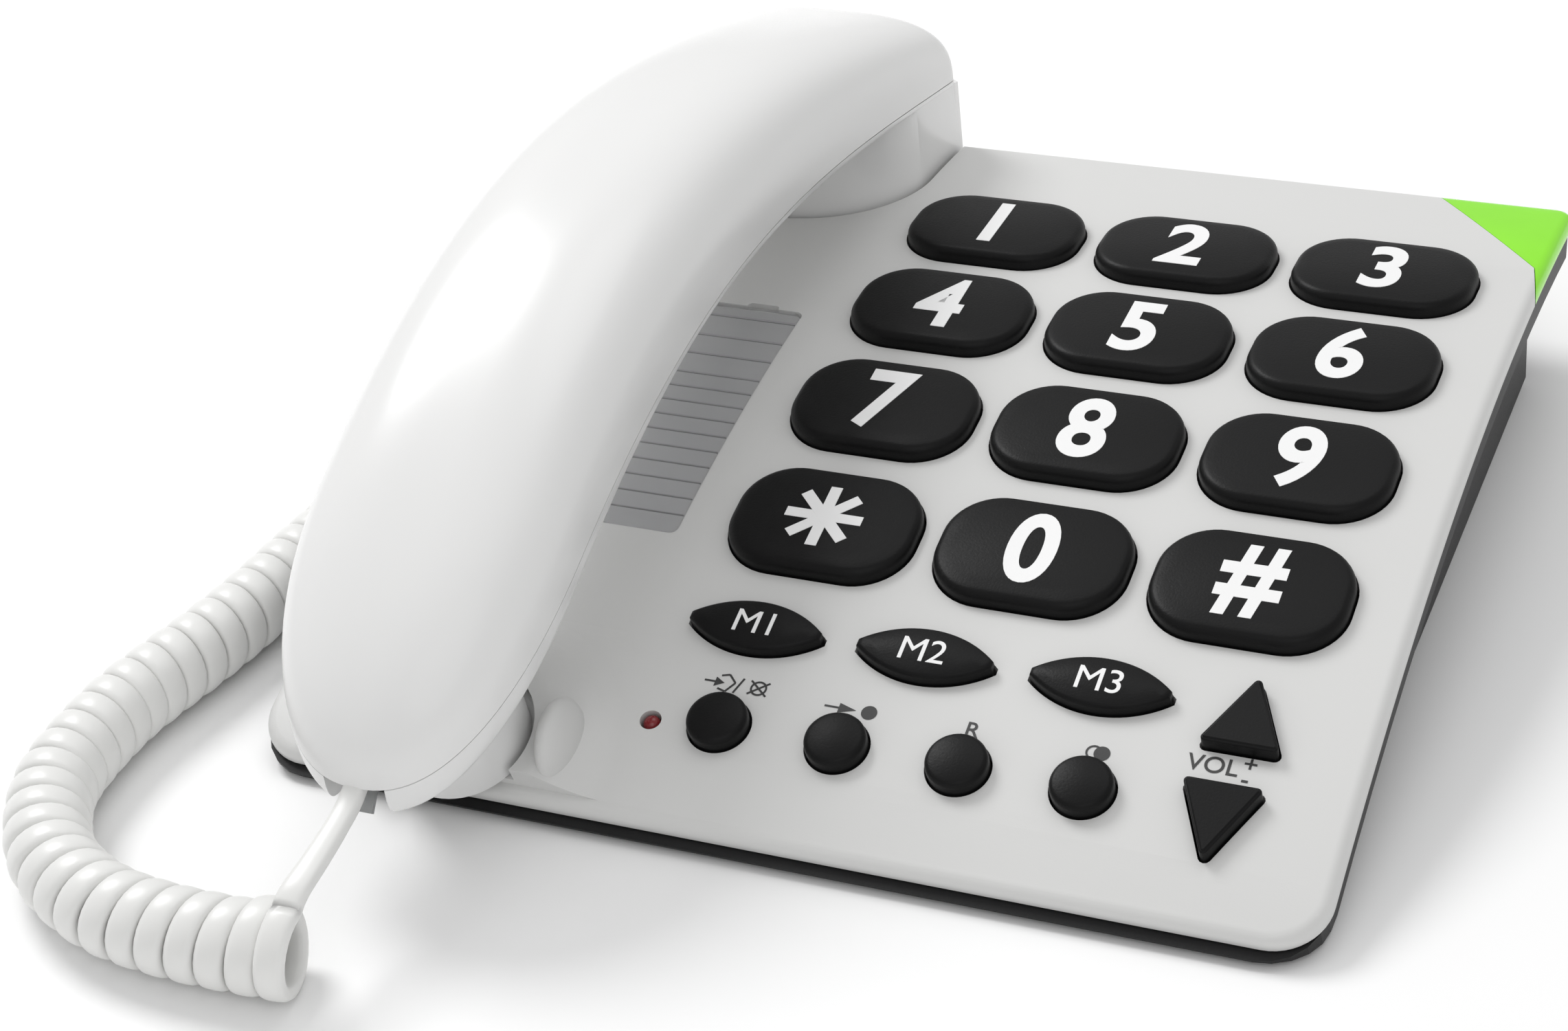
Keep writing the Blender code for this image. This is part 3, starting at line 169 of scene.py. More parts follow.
def make_materials():
    made = {
        "white": node_material("white_plastic", (0.66, 0.66, 0.652), 0.38, bump=0.10, variation=0.008,
                               specular_ior_level=0.35),
        "handset": node_material("handset_plastic", (0.79, 0.79, 0.785), 0.24, bump=0.02, variation=0.006,
                                 specular_ior_level=0.45),
        "dark": node_material("dark_plastic", (0.010, 0.010, 0.0105), 0.45, bump=0.25, specular_ior_level=0.25),
        "key": node_material("key_plastic", (0.0040, 0.0040, 0.0042), 0.42, bump=0.30, grain=2600.0,
                             specular_ior_level=0.16),
        "legend": node_material("legend_ink", (0.86, 0.86, 0.86), 0.45, bump=0.04),
        "print": node_material("print_ink", (0.03, 0.03, 0.03), 0.5, bump=0.04),
        "paper": node_material("card_paper", (0.46, 0.46, 0.465), 0.7, bump=0.2, grain=900.0),
        "cord": node_material("cord_vinyl", (0.78, 0.78, 0.765), 0.34, bump=0.03, variation=0.015),
        "steel": node_material("plated_steel", (0.55, 0.55, 0.56), 0.32, metallic=1.0, grain=1500.0),
        "rubber": node_material("foot_rubber", (0.02, 0.02, 0.02), 0.75, bump=0.4, grain=1200.0),
        "board": node_material("board_mask", (0.01, 0.10, 0.03), 0.35, grain=800.0),
        "nylon": node_material("hook_nylon", (0.62, 0.61, 0.57), 0.45),
        "clear": node_material("clear_plastic", (0.42, 0.43, 0.43), 0.12, bump=0.05, ior=1.5,
                               transmission_weight=0.45),
        "cover": node_material("clear_cover", (0.93, 0.94, 0.95), 0.10, bump=0.02, ior=1.45,
                               transmission_weight=0.97, alpha=0.25),
        "lens": node_material("green_lens", (0.26, 0.80, 0.0), 0.16, bump=0.02, variation=0.12,
                              transmission_weight=0.10, ior=1.49),
        "lamp": node_material("red_lamp", (0.28, 0.015, 0.02), 0.12, bump=0.02, transmission_weight=0.3),
    }
    # painted glow: a faint green emission stands in for light passing through the green lens plastic
    lens = made["lens"].node_tree
    shader = lens.nodes["Principled BSDF"]
    shader.inputs["Emission Color"].default_value = (0.30, 0.85, 0.0, 1.0)
    shader.inputs["Emission Strength"].default_value = 0.06
    return made


MATERIALS = make_materials()


# ---- mesh helpers ----
def bake(obj):
    bpy.context.view_layer.update()
    graph = bpy.context.evaluated_depsgraph_get()
    mesh = bpy.data.meshes.new_from_object(obj.evaluated_get(graph))
    obj.modifiers.clear()
    obj.data = mesh
    return obj


def from_bmesh(bm, name):
    bmesh.ops.recalc_face_normals(bm, faces=bm.faces)
    mesh = bpy.data.meshes.new(name)
    bm.to_mesh(mesh)
    bm.free()
    obj = bpy.data.objects.new(name, mesh)
    bpy.context.collection.objects.link(obj)
    return obj


def transform(obj, matrix):
    obj.data.transform(matrix)
    return obj


def boolean(obj, other, operation):
    modifier = obj.modifiers.new(operation.lower(), "BOOLEAN")
    modifier.operation = operation
    modifier.solver = "EXACT"
    modifier.object = other
    bake(obj)
    bpy.data.objects.remove(other, do_unlink=True)
    return obj


def cut(obj, *others):
    for other in others:
        boolean(obj, other, "DIFFERENCE")
    return obj


def join(obj, *others):
    for other in others:
        boolean(obj, other, "UNION")
    return obj


def merged(pieces):
    """Several shapes as one mesh."""
    bm = bmesh.new()
    for piece in pieces:
        bm.from_mesh(piece.data)
        bpy.data.objects.remove(piece, do_unlink=True)
    return from_bmesh(bm, "merged")


def piece(obj, name, material, body, slot, *replaced, sharp=30.0, place=DECK):
    """Finish a visual piece: name, material, body it rides on, and nodes it stands for. The slot argument is
    not used.
    """
    obj.data.transform(place)
    obj.name = name
    obj.data.materials.clear()
    obj.data.materials.append(MATERIALS[material])
    obj.data.shade_smooth()
    obj.data.set_sharp_from_angle(angle=math.radians(sharp))
    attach(obj, body)
    if replaced:
        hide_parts(*replaced)
    return obj


def box(low, high, bevel=0.0, segments=3):
    bm = bmesh.new()
    bmesh.ops.create_cube(bm, size=1.0)
    bmesh.ops.scale(bm, vec=Vector(high) - Vector(low), verts=bm.verts)
    bmesh.ops.translate(bm, vec=(Vector(high) + Vector(low)) / 2, verts=bm.verts)
    if bevel:
        bmesh.ops.bevel(bm, geom=bm.edges[:], offset=bevel, segments=segments, profile=0.5, affect="EDGES")
    return from_bmesh(bm, "box")


def cylinder(radius, low, high, at=(0.0, 0.0), sides=32, top_radius=None):
    bm = bmesh.new()
    bmesh.ops.create_cone(bm, cap_ends=True, segments=sides, radius1=radius,
                          radius2=radius if top_radius is None else top_radius, depth=high - low)
    bmesh.ops.translate(bm, vec=(at[0], at[1], (low + high) / 2), verts=bm.verts)
    return from_bmesh(bm, "cylinder")


def turned(profile, steps=64):
    """A solid of revolution about Z from a profile of (radius, z) that runs from top to bottom."""
    mesh = bpy.data.meshes.new("profile")
    mesh.from_pydata([(r, 0.0, z) for r, z in profile], [(i, i + 1) for i in range(len(profile) - 1)], [])
    obj = bpy.data.objects.new("turned", mesh)
    bpy.context.collection.objects.link(obj)
    screw = obj.modifiers.new("turn", "SCREW")
    screw.steps = screw.render_steps = steps
    screw.use_merge_vertices = True
    screw.merge_threshold = 0.00001
    return bake(obj)


def stacked(rings):
    """A closed solid through rings of points that correspond, the first at the bottom."""
    bm = bmesh.new()
    made = [[bm.verts.new(p) for p in ring] for ring in rings]
    for low, high in zip(made, made[1:]):
        for i in range(len(low)):
            j = (i + 1) % len(low)
            bm.faces.new((low[i], low[j], high[j], high[i]))
    bm.faces.new(made[0][::-1])
    bm.faces.new(made[-1])
    return from_bmesh(bm, "stacked")


def extruded(points, low, high):
    """A flat outline with straight walls between two heights."""
    return stacked([[(x, y, low) for x, y in points], [(x, y, high) for x, y in points]])


def arc(cx, cy, radius, start, end, steps):
    return [(cx + radius * math.cos(math.radians(start + (end - start) * i / steps)),
             cy + radius * math.sin(math.radians(start + (end - start) * i / steps)))
            for i in range(steps + 1)]


def rounded_rect(low, high, radii, steps=10):
    (x0, y0), (x1, y1) = low, high
    fr, rr, rl, fl = radii
    return (arc(x1 - fr, y0 + fr, fr, -90, 0, steps) + arc(x1 - rr, y1 - rr, rr, 0, 90, steps)
            + arc(x0 + rl, y1 - rl, rl, 90, 180, steps) + arc(x0 + fl, y0 + fl, fl, 180, 270, steps))


def key_outline(width, height, radius, grow=0.0, steps=12):
    w, h, r = width / 2 + grow, height / 2 + grow, radius + grow
    return rounded_rect((-w, -h), (w, h), (r, r, r, r), steps)


def lens_outline(width, height, grow=0.0, steps=24):
    half, rise = width / 2, height / 2
    radius = (half * half + rise * rise) / (2 * rise) + grow
    centre = radius - grow - rise
    reach = math.degrees(math.acos((centre + 0.0006) / radius))
    lower = arc(0.0, centre, radius, -90 - reach, -90 + reach, steps)
    upper = arc(0.0, -centre, radius, 90 - reach, 90 + reach, steps)
    return lower + upper


def triangle_outline(width, height, grow=0.0, steps=4):
    corner = max(TRIANGLE_CORNER + grow, 0.0001)
    inset = TRIANGLE_CORNER
    tips = [(-width / 2 + 1.7 * inset, -height / 2 + inset), (width / 2 - 1.7 * inset, -height / 2 + inset),
            (0.0, height / 2 - 2.0 * inset)]
    slope = math.degrees(math.atan2(tips[2][1] - tips[1][1], tips[1][0] - tips[2][0]))
    return (arc(*tips[0], corner, 90 + slope, 270, steps) + arc(*tips[1], corner, -90, 90 - slope, steps)
            + arc(*tips[2], corner, 90 - slope, 90 + slope, steps))


# ---- the deck's curvature ----
def deck_matrix(s, x=0.0, n=0.0, turn=0.0):
    angle = s / DECK_RADIUS
    reach = DECK_RADIUS + n
    place = Vector((x, reach * math.sin(angle), reach * math.cos(angle) - DECK_RADIUS))
    return Matrix.Translation(place) @ Matrix.Rotation(-angle, 4, "X") @ Matrix.Rotation(turn, 4, "Z")


def wrap(obj, step=0.0015):
    """Bend a shape drawn flat, as (x, s, n), onto the deck's cylinder."""
    bm = bmesh.new()
    bm.from_mesh(obj.data)
    low = min(v.co.y for v in bm.verts)
    high = max(v.co.y for v in bm.verts)
    stations = int((high - low) / step)
    for i in range(1, stations + 1):
        bmesh.ops.bisect_plane(bm, geom=bm.verts[:] + bm.edges[:] + bm.faces[:], dist=0.000001,
                               plane_co=(0.0, low + (high - low) * i / (stations + 1), 0.0),
                               plane_no=(0.0, 1.0, 0.0))
    for v in bm.verts:
        angle = v.co.y / DECK_RADIUS
        reach = DECK_RADIUS + v.co.z
        v.co.y = reach * math.sin(angle)
        v.co.z = reach * math.cos(angle) - DECK_RADIUS
    bm.to_mesh(obj.data)
    bm.free()
    return obj


def plan_outline(inset=0.0):
    radii = [max(0.001, r - inset) for r in (0.009, 0.0035, 0.0035, 0.009)]
    return rounded_rect((LEFT + inset, FRONT_S + inset), (RIGHT - inset, REAR_S - inset), radii, 12)


# ---- cords ----
def smooth_path(points, steps):
    """Points of a smooth curve through the given ones, with its last point."""
    knots = [Vector(p) for p in points]
    knots = [2 * knots[0] - knots[1]] + knots + [2 * knots[-1] - knots[-2]]
    path = []
    for a, b, c, d in zip(knots, knots[1:], knots[2:], knots[3:]):
        for i in range(steps):
            t = i / steps
            path.append(0.5 * (2 * b + (c - a) * t + (2 * a - 5 * b + 4 * c - d) * t * t
                               + (3 * b - 3 * c + d - a) * t ** 3))
    return path + [knots[-2]]


def even_path(points, spacing):
    """The same route with its points at an even spacing."""
    lengths = [0.0]
    for a, b in zip(points, points[1:]):
        lengths.append(lengths[-1] + (b - a).length)
    count = round(lengths[-1] / spacing)
    path, j = [], 0
    for i in range(count + 1):
        at = lengths[-1] * i / count
        while j < len(points) - 2 and lengths[j + 1] < at:
            j += 1
        t = (at - lengths[j]) / (lengths[j + 1] - lengths[j])
        path.append(points[j].lerp(points[j + 1], t))
    return path


def coil_points():
    """Centre line of the curls with, at each point, the direction of the coil's axis."""
    up = Vector((0.0, 0.0, 1.0))
    axis = even_path(smooth_path([Vector((x, y, 0.0)) + CORD_SHIFT for x, y in COIL_ROUTE], 12), 0.00025)
    steps = POINTS_PER_TURN * COIL_TURNS
    points, along = [], []
    for i in range(steps + 1):
        t = i / steps
        at = t * (len(axis) - 2)
        j = int(at)
        centre = axis[j].lerp(axis[j + 1], at - j)
        tangent = (axis[min(j + 6, len(axis) - 1)] - axis[max(j - 6, 0)]).normalized()
        side = tangent.cross(up)
        widening = FIRST_TURN_EXTRA * max(0.0, 1 - t * COIL_TURNS / FIRST_TURNS)
        outer = COIL_OUTER - COIL_TAPER * t + widening
        radius = outer - CORD_THICKNESS / 2
        turn = COIL_START + COIL_HAND * 2 * math.pi * COIL_TURNS * t
        radial = math.cos(turn) * up + math.sin(turn) * side
        centre = centre + Vector((0.0, 0.0, outer + 0.0002))
        points.append(centre + radius * radial)
        along.append(tangent)
    return points, along


def make_cord():
    """The whole cord: flat lead from the handset, curls, and lead into the base."""
    lead = [Vector(p) + CORD_SHIFT for p in HANDSET_LEAD_ROUTE]
    curls, along = coil_points()
    tail = [Vector(p) + CORD_SHIFT for p in BASE_LEAD_ROUTE]
    first = even_path(smooth_path(lead + [curls[0], curls[6]], 12), LEAD_STEP)
    first = first[:-max(1, round((curls[6] - curls[0]).length / LEAD_STEP))]
    last = even_path(smooth_path([curls[-6], curls[-1]] + tail[1:], 12), LEAD_STEP)
    last = last[max(1, round((curls[-1] - curls[-6]).length / LEAD_STEP)) + 1:]
    path = first + curls + last
    flat_start, flat_end = Vector((-1.0, 0.0, 0.0)), Vector((0.0, 0.0, 1.0))
    bm = bmesh.new()
    rings = []
    count = len(path)
    for i, at in enumerate(path):
        tangent = (path[min(i + 1, count - 1)] - path[max(i - 1, 0)]).normalized()
        lead_share = 0.0
        if i < len(first):
            lead_share = min(1.0, (len(first) - i) / BLEND_RINGS)
            t = max(0.0, 1 - (len(first) - i) / BLEND_RINGS)
            width = flat_start.lerp(along[0], t)
        elif i >= len(first) + len(curls):
            t = max(0.0, 1 - (i - len(first) - len(curls)) / BLEND_RINGS)
            width = flat_end.lerp(along[-1], t)
        else:
            width = along[i - len(first)]
        width = (width - tangent * width.dot(tangent)).normalized()
        thick = tangent.cross(width)
        spread = 0.5 * (CORD_WIDTH + (LEAD_WIDTH - CORD_WIDTH) * lead_share)
        ring = []
        for k in range(CORD_SIDES):
            angle = 2 * math.pi * k / CORD_SIDES
            c, s = math.cos(angle), math.sin(angle)
            a = math.copysign(abs(c) ** CORD_SQUARENESS, c) * spread
            b = math.copysign(abs(s) ** CORD_SQUARENESS, s) * CORD_THICKNESS / 2
            ring.append(bm.verts.new(at + width * a + thick * b))
        rings.append(ring)
    for low, high in zip(rings, rings[1:]):
        for i in range(CORD_SIDES):
            j = (i + 1) % CORD_SIDES
            bm.faces.new((low[i], low[j], high[j], high[i]))
    bm.faces.new(rings[0][::-1])
    bm.faces.new(rings[-1])
    cord = from_bmesh(bm, "curly_cord")
    cord.data.materials.append(MATERIALS["cord"])
    cord.data.shade_smooth()
    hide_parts("cord_coil", "handset_lead", "base_lead")
    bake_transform(cord)


# ---- casing ----
def keys():
    """Name, kind, legend, x, s and turn of every key on the deck."""
    rows = [("1", "2", "3"), ("4", "5", "6"), ("7", "8", "9"), ("star", "0", "hash")]
    listed = []
    for row, names in enumerate(rows):
        for column, name in enumerate(names):
            legend = {"hash": "#"}.get(name, name)
            x, s = (column - 1) * KEY_PITCH_X, (1 - row) * KEY_PITCH_S
            listed.append((f"key_{name}", "digit", legend, x, s, 0.0))
    for i in range(3):
        listed.append((f"memory_key_{i + 1}", "memory", f"M{i + 1}", -0.0395 + 0.0289 * i, MEMORY_S, 0.0))
    for i, name in enumerate(("store_key", "redial_key", "recall_key", "mute_key")):
        listed.append((name, "function", "", -0.0392 + 0.0200 * i, FUNCTION_S, 0.0))
    listed.append(("volume_up_key", "volume", "", 0.0422, -0.0831, 0.0))
    listed.append(("volume_down_key", "volume", "", 0.0418, -0.1032, math.pi))
    return listed


def key_shape_outline(kind, grow=0.0):
    """Plan outline of a key of the given kind, grown outwards."""
    if kind == "digit":
        return key_outline(*KEY_SIZE, grow=grow)
    if kind == "memory":
        return lens_outline(0.0240, 0.0096, grow)
    if kind == "function":
        return arc(0.0, 0.0, 0.0050 + grow, 0, 360 - 360 / 48, 47)
    return triangle_outline(*VOLUME_KEY_SIZE, grow)


def rounded_lip(outline, rise, radius=0.0021, base=-PLATE, steps=6):
    """Rings of a slab whose upper edge is rounded over, from an outline function of the inset."""
    rings = [[(x, y, base) for x, y in outline(0.0)]]
    for i in range(steps + 1):
        angle = math.pi / 2 * i / steps
        inset = radius * (1 - math.cos(angle))
        height = rise - radius + radius * math.sin(angle)
        rings.append([(x, y, height) for x, y in outline(inset)])
    return rings


def make_casing():
    slab = stacked(rounded_lip(plan_outline, 0.0))
    lens = slab.copy()
    lens.data = slab.data.copy()
    bpy.context.collection.objects.link(lens)

    def corner(offset):
        joint = [(0.0132, 0.0980), (0.0599, 0.0414), (0.0641, 0.0226)]
        outline = [(x + offset, s) for x, s in joint] + [(0.11, 0.0226), (0.11, 0.0980)]
        return extruded(outline, -0.01, 0.01)

    boolean(lens, corner(0.00008), "INTERSECT")
    cut(slab, corner(-0.00008))

    def well(grow, low, high):
        radius = EAR_RADIUS + grow
        points = (arc(HANDSET_X, EAR_CENTRE_S, radius, 180, 360, 48)
                  + [(HANDSET_X + radius, REAR_S + 0.01), (HANDSET_X - radius, REAR_S + 0.01)])
        return extruded(points, low, high)

    floor = boolean(well(0.0028, -WELL_DEPTH - PLATE, -PLATE / 2),
                    extruded(plan_outline(0.0030), -0.02, 0.02), "INTERSECT")
    join(slab, floor)
    cut(slab, well(0.0010, -WELL_DEPTH, 0.01))
    mound = turned([(0.0, 0.0046), (0.0150, 0.0046), (0.0159, 0.0043), (0.0168, 0.0038), (0.0181, 0.0030),
                    (0.0195, 0.0022), (0.0210, 0.0015), (0.0225, 0.0009), (0.0243, 0.0004), (0.0262, 0.0),
                    (0.0262, -0.0012), (0.0, -0.0012)], 72)
    boolean(mound, box((-0.05, FRONT_S - MOUTH_S + 0.0024, -0.02), (0.05, 0.05, 0.02)), "INTERSECT")
    join(slab, transform(mound, Matrix.Translation((HANDSET_X, MOUTH_S, 0.0))))
    for side in (-1, 1):
        bm = bmesh.new()
        bmesh.ops.create_uvsphere(bm, u_segments=40, v_segments=24, radius=1.0)
        bmesh.ops.scale(bm, vec=(0.0030, 0.0070, 0.0085), verts=bm.verts)
        bmesh.ops.translate(bm, vec=(HANDSET_X + side * 0.0168, MOUTH_S + 0.0020, 0.0018), verts=bm.verts)
        bmesh.ops.bisect_plane(bm, geom=bm.verts[:] + bm.edges[:] + bm.faces[:], clear_inner=True,
                               plane_co=(0.0, 0.0, -0.0008), plane_no=(0.0, 0.0, 1.0))
        bmesh.ops.holes_fill(bm, edges=[e for e in bm.edges if e.is_boundary])
        join(slab, from_bmesh(bm, "horn"))
    cup = cylinder(MOUTH_RADIUS + 0.0012, 0.0015, 0.02, at=(HANDSET_X, MOUTH_S), sides=64)
    recess = extruded(rounded_rect((CARD_X[0] - 0.0004, CARD_S[0] - 0.0004),
                                   (CARD_X[1] + 0.0004, CARD_S[1] + 0.0004), [0.0015] * 4, 6), -0.0013, 0.01)
    notch = extruded(rounded_rect((-0.0718, CARD_S[1] - 0.0010),
                                  (-0.0658, CARD_S[1] + 0.0014), [0.0008] * 4, 5), -0.0016, 0.01)
    cut(slab, cup, recess, notch)
    openings = []
    for _, kind, _, x, s, turn in keys():
        hole = extruded(key_shape_outline(kind, 0.00035), -0.02, 0.02)
        openings.append(transform(hole, Matrix.Translation((x, s, 0.0)) @ Matrix.Rotation(turn, 4, "Z")))
    openings.append(cylinder(LED_RADIUS + GAP, -0.02, 0.02, at=LED_AT, sides=32))
    openings.append(cylinder(0.0030, -0.02, 0.02, at=(HANDSET_X, 0.0430), sides=32))
    cut(slab, merged(openings))
    piece(wrap(slab), "casing_top", "white", "base", "white_casing", "base_upper_casing")
    piece(wrap(lens), "ring_indicator", "lens", "base", "green_lens", "ring_indicator_lens")


# ---- keys and their legends ----
def legend_mesh(text, size, thickness, bold=0.0):
    """Generic lettering as a thin raised mesh, centred on its own middle."""
    curve = bpy.data.curves.new("legend", "FONT")
    curve.body = text
    curve.size = size
    curve.offset = bold
    curve.extrude = thickness / 2
    curve.resolution_u = 8
    curve.align_x = "CENTER"
    curve.align_y = "CENTER"
    obj = bpy.data.objects.new("legend", curve)
    bpy.context.collection.objects.link(obj)
    bpy.context.view_layer.update()
    mesh = bpy.data.meshes.new_from_object(obj.evaluated_get(bpy.context.evaluated_depsgraph_get()))
    bpy.data.objects.remove(obj, do_unlink=True)
    xs = [v.co.x for v in mesh.vertices]
    ys = [v.co.y for v in mesh.vertices]
    mesh.transform(Matrix.Translation((-(min(xs) + max(xs)) / 2, -(min(ys) + max(ys)) / 2, 0.0)))
    made = bpy.data.objects.new("legend", mesh)
    bpy.context.collection.objects.link(made)
    return made


def asterisk_mesh():
    """Eight arms, as four crossed bars."""
    bars = []
    for i in range(4):
        low = -LEGEND_THICKNESS / 2 + 0.00001 * i
        arm = box((-0.0067, -0.0010, low), (0.0067, 0.0010, low + LEGEND_THICKNESS))
        widen = Matrix.Diagonal((1 / LEGEND_SQUEEZE, 1.0, 1.0, 1.0))
        bars.append(transform(arm, widen @ Matrix.Rotation(math.pi * i / 4, 4, "Z")))
    return merged(bars)


def make_key(name, kind, legend, x, s, turn):
    """A cap with a rounded shoulder and, where it has one, a raised legend."""
    rise, shoulder = KEY_RISES[kind], KEY_SHOULDERS[kind]

    def outline(inset):
        return key_shape_outline(kind, -inset)

    rings = rounded_lip(outline, rise - KEY_DOME, shoulder, -0.0036)
    rings.append([(px, py, rise) for px, py in outline(min(shoulder * 1.8, shoulder + 0.0012))])
    cap = stacked(rings)
    at = DECK @ deck_matrix(s, x, 0.0, turn)
    piece(cap, f"{name}_cap", "key", name, "black_key", name, place=at)
    if legend:
        bold = 0.00055 if kind == "digit" else 0.0
        if legend == "star":
            letters = asterisk_mesh()
        else:
            letters = legend_mesh(legend, LEGEND_SIZES[kind], LEGEND_THICKNESS, bold)
        squeeze = LEGEND_SQUEEZE if kind == "digit" else 1.0
        stretch = Matrix.Diagonal((squeeze, 1.0, 1.0, 1.0))
        place = at @ Matrix.Translation((0.0, 0.0, rise + 0.00002)) @ stretch
        piece(letters, f"{name}_legend", "legend", name, "black_key", place=place)


# ---- small parts on the deck ----
def make_card():
    outline = rounded_rect(CARD_X[:1] + CARD_S[:1], CARD_X[1:] + CARD_S[1:], [0.0012] * 4, 5)
    sheet = extruded(outline, -0.0010, -0.0007)
    piece(wrap(sheet), "card_sheet", "paper", "base", "paper", "index_card")
    lines = []
    first, pitch = -0.0600, 0.0039
    heights = [first + pitch * i for i in range(10)] + [first + pitch * 9 + 0.0055 * i for i in (1, 2)]
    heights.append(heights[-1] + 0.0062)
    for s in heights:
        lines.append(box((CARD_X[0], s - CARD_LINE_HALF, -0.00075),
                         (CARD_X[1] - 0.0002, s + CARD_LINE_HALF, -0.00064)))
    piece(wrap(merged(lines), 0.02), "card_lines", "print", "base", "paper")


def flat_print(points):
    return extruded(points, PRINT_LEVEL, PRINT_LEVEL + PRINT_THICKNESS)


def bar(start, end):
    """A straight stroke between two points on the deck."""
    run = Vector((end[0] - start[0], end[1] - start[1]))
    side = Vector((-run.y, run.x)).normalized() * PRINT_STROKE / 2
    corners = [(start[0] - side.x, start[1] - side.y), (end[0] - side.x, end[1] - side.y),
               (end[0] + side.x, end[1] + side.y), (start[0] + side.x, start[1] + side.y)]
    return flat_print(corners)


def disc(centre, radius):
    return flat_print(arc(*centre, radius, 0, 350, 35))


def circle(centre, radius):
    return cut(disc(centre, radius), cylinder(radius - PRINT_STROKE, -0.01, 0.01, at=centre, sides=36))


def arrow_head(tip, length):
    x, s = tip
    return flat_print([(x, s), (x - length, s + 0.0009), (x - length, s - 0.0009)])


def make_print():
    """Generic symbols over the round keys and between the volume keys."""
    s = FUNCTION_S + 0.0079
    marks = [bar((-0.0446, s), (-0.0425, s)), arrow_head((-0.0412, s), 0.0016)]
    corners = [(-0.0421, s + 0.0013), (-0.0408, s + 0.0017), (-0.0394, s + 0.0003), (-0.0406, s - 0.0016),
               (-0.0420, s - 0.0012)]
    marks += [bar(a, b) for a, b in zip(corners, corners[1:])]
    marks.append(bar((-0.0392, s - 0.0016), (-0.0382, s + 0.0014)))
    marks.append(circle((-0.0353, s), 0.0014))
    marks.append(bar((-0.0369, s - 0.0013), (-0.0337, s + 0.0013)))
    marks.append(bar((-0.0369, s + 0.0013), (-0.0337, s - 0.0013)))
    s = FUNCTION_S + 0.0070
    marks += [bar((-0.0237, s), (-0.0208, s)), arrow_head((-0.0184, s), 0.0029),
              disc((-0.0162, s), 0.0013)]
    marks += [circle((0.0205, s), 0.0013), disc((0.0218, s), 0.0013)]
    for text, x, place, size in (("R", 0.0010, -0.0937, 0.0040), ("VOL", 0.0388, -0.0924, 0.0042),
                                 ("+", 0.0444, -0.0912, 0.0040), ("-", 0.0442, -0.0944, 0.0040)):
        letters = legend_mesh(text, size, PRINT_THICKNESS, bold=0.00002)
        marks.append(transform(letters, Matrix.Translation((x, place, 2 * PRINT_LEVEL))))
    piece(wrap(merged(marks), 0.01), "deck_print", "print", "base", "black_key")


def make_lamp():
    dome = turned([(0.0, 0.0013), (0.0005, 0.00125), (0.0010, 0.0010), (0.0013, 0.0006), (LED_RADIUS, 0.0),
                   (LED_RADIUS, -0.0030), (0.0, -0.0030)], 40)
    transform(dome, deck_matrix(LED_AT[1], LED_AT[0], -0.0012))
    piece(dome, "memory_lamp_dome", "lamp", "base", "red_lens", "memory_lamp")


# ---- handset ----
def seam_z(y):
    u = y + 0.040
    return 0.029 - u * u / 0.350 + (10.0 * u ** 3 if u > 0 else 0.0)


def half_width(y, inset=0.0):
    nose = min(1.0, max(0.0, (HANDSET_FRONT + NOSE_LENGTH - y) / (NOSE_LENGTH - inset)))
    tail = min(1.0, max(0.0, (y - HANDSET_REAR + TAIL_LENGTH) / (TAIL_LENGTH - inset)))
    return (HANDSET_HALF_WIDTH - inset) * (1 - nose ** 2.3) ** (1 / 2.3) * (1 - tail ** 4) ** (1 / 4)


def crown(y):
    t = (y - HANDSET_FRONT) / (HANDSET_REAR - HANDSET_FRONT)
    return 0.0114 + 0.0320 * t * (1 - t) + 0.0020 * t


def keel(y):
    t = (y - HANDSET_FRONT) / (HANDSET_REAR - HANDSET_FRONT)
    return 0.0034 + 0.0078 * max(0.0, 1 - 2.2 * t) ** 1.2


def handset_half(depth, power, inset, direction, rim_level, rings=20, stations=120):
    """Rings that climb from the seam outline to the spine, closed by a lid at the seam."""
    front, rear = HANDSET_FRONT + inset, HANDSET_REAR - inset
    outline = []
    for i in range(stations + 1):
        t = (1 - math.cos(math.pi * i / stations)) / 2
        y = front + (rear - front) * t
        outline.append((half_width(y, inset), y))
    outline[0] = (0.0, front)
    outline[-1] = (0.0, rear)
    loop = outline + [(-w, y) for w, y in reversed(outline[1:-1])]
    spine_low, spine_high = front + 0.60 * NOSE_LENGTH, rear - 0.014
    bm = bmesh.new()
    made = []
    for k in range(rings + 1):
        phi = math.radians(86) * (k / rings)
        reach = math.cos(phi) ** (2 / power)
        rise = math.sin(phi) ** (2 / power) if k else 0.0
        ring = []
        for w, y in loop:
            spine = min(spine_high, max(spine_low, y))
            yy = spine + (y - spine) * reach
            lift = rim_level if k == 0 else 0.0
            z = seam_z(yy) + lift + direction * (GAP / 3 + (depth(yy) - inset) * rise)
            ring.append(bm.verts.new((HANDSET_X + w * reach, yy, z)))
        made.append(ring)
    count = len(loop)
    for low, high in zip(made, made[1:]):
        for i in range(count):
            j = (i + 1) % count
            bm.faces.new((low[i], low[j], high[j], high[i]))
    for edge in (made[0], made[-1]):
        for i in range(stations):
            corners = []
            for index in (i, i + 1, (count - i - 1) % count, (count - i) % count):
                if edge[index] not in corners:
                    corners.append(edge[index])
            bm.faces.new(corners)
    return from_bmesh(bm, "half")


def under_deck(depth, low=0.06):
    sheet = extruded(rounded_rect((-0.2, -0.18), (0.2, 0.18), [0.001] * 4, 1), -low, -depth)
    return wrap(sheet, 0.003)


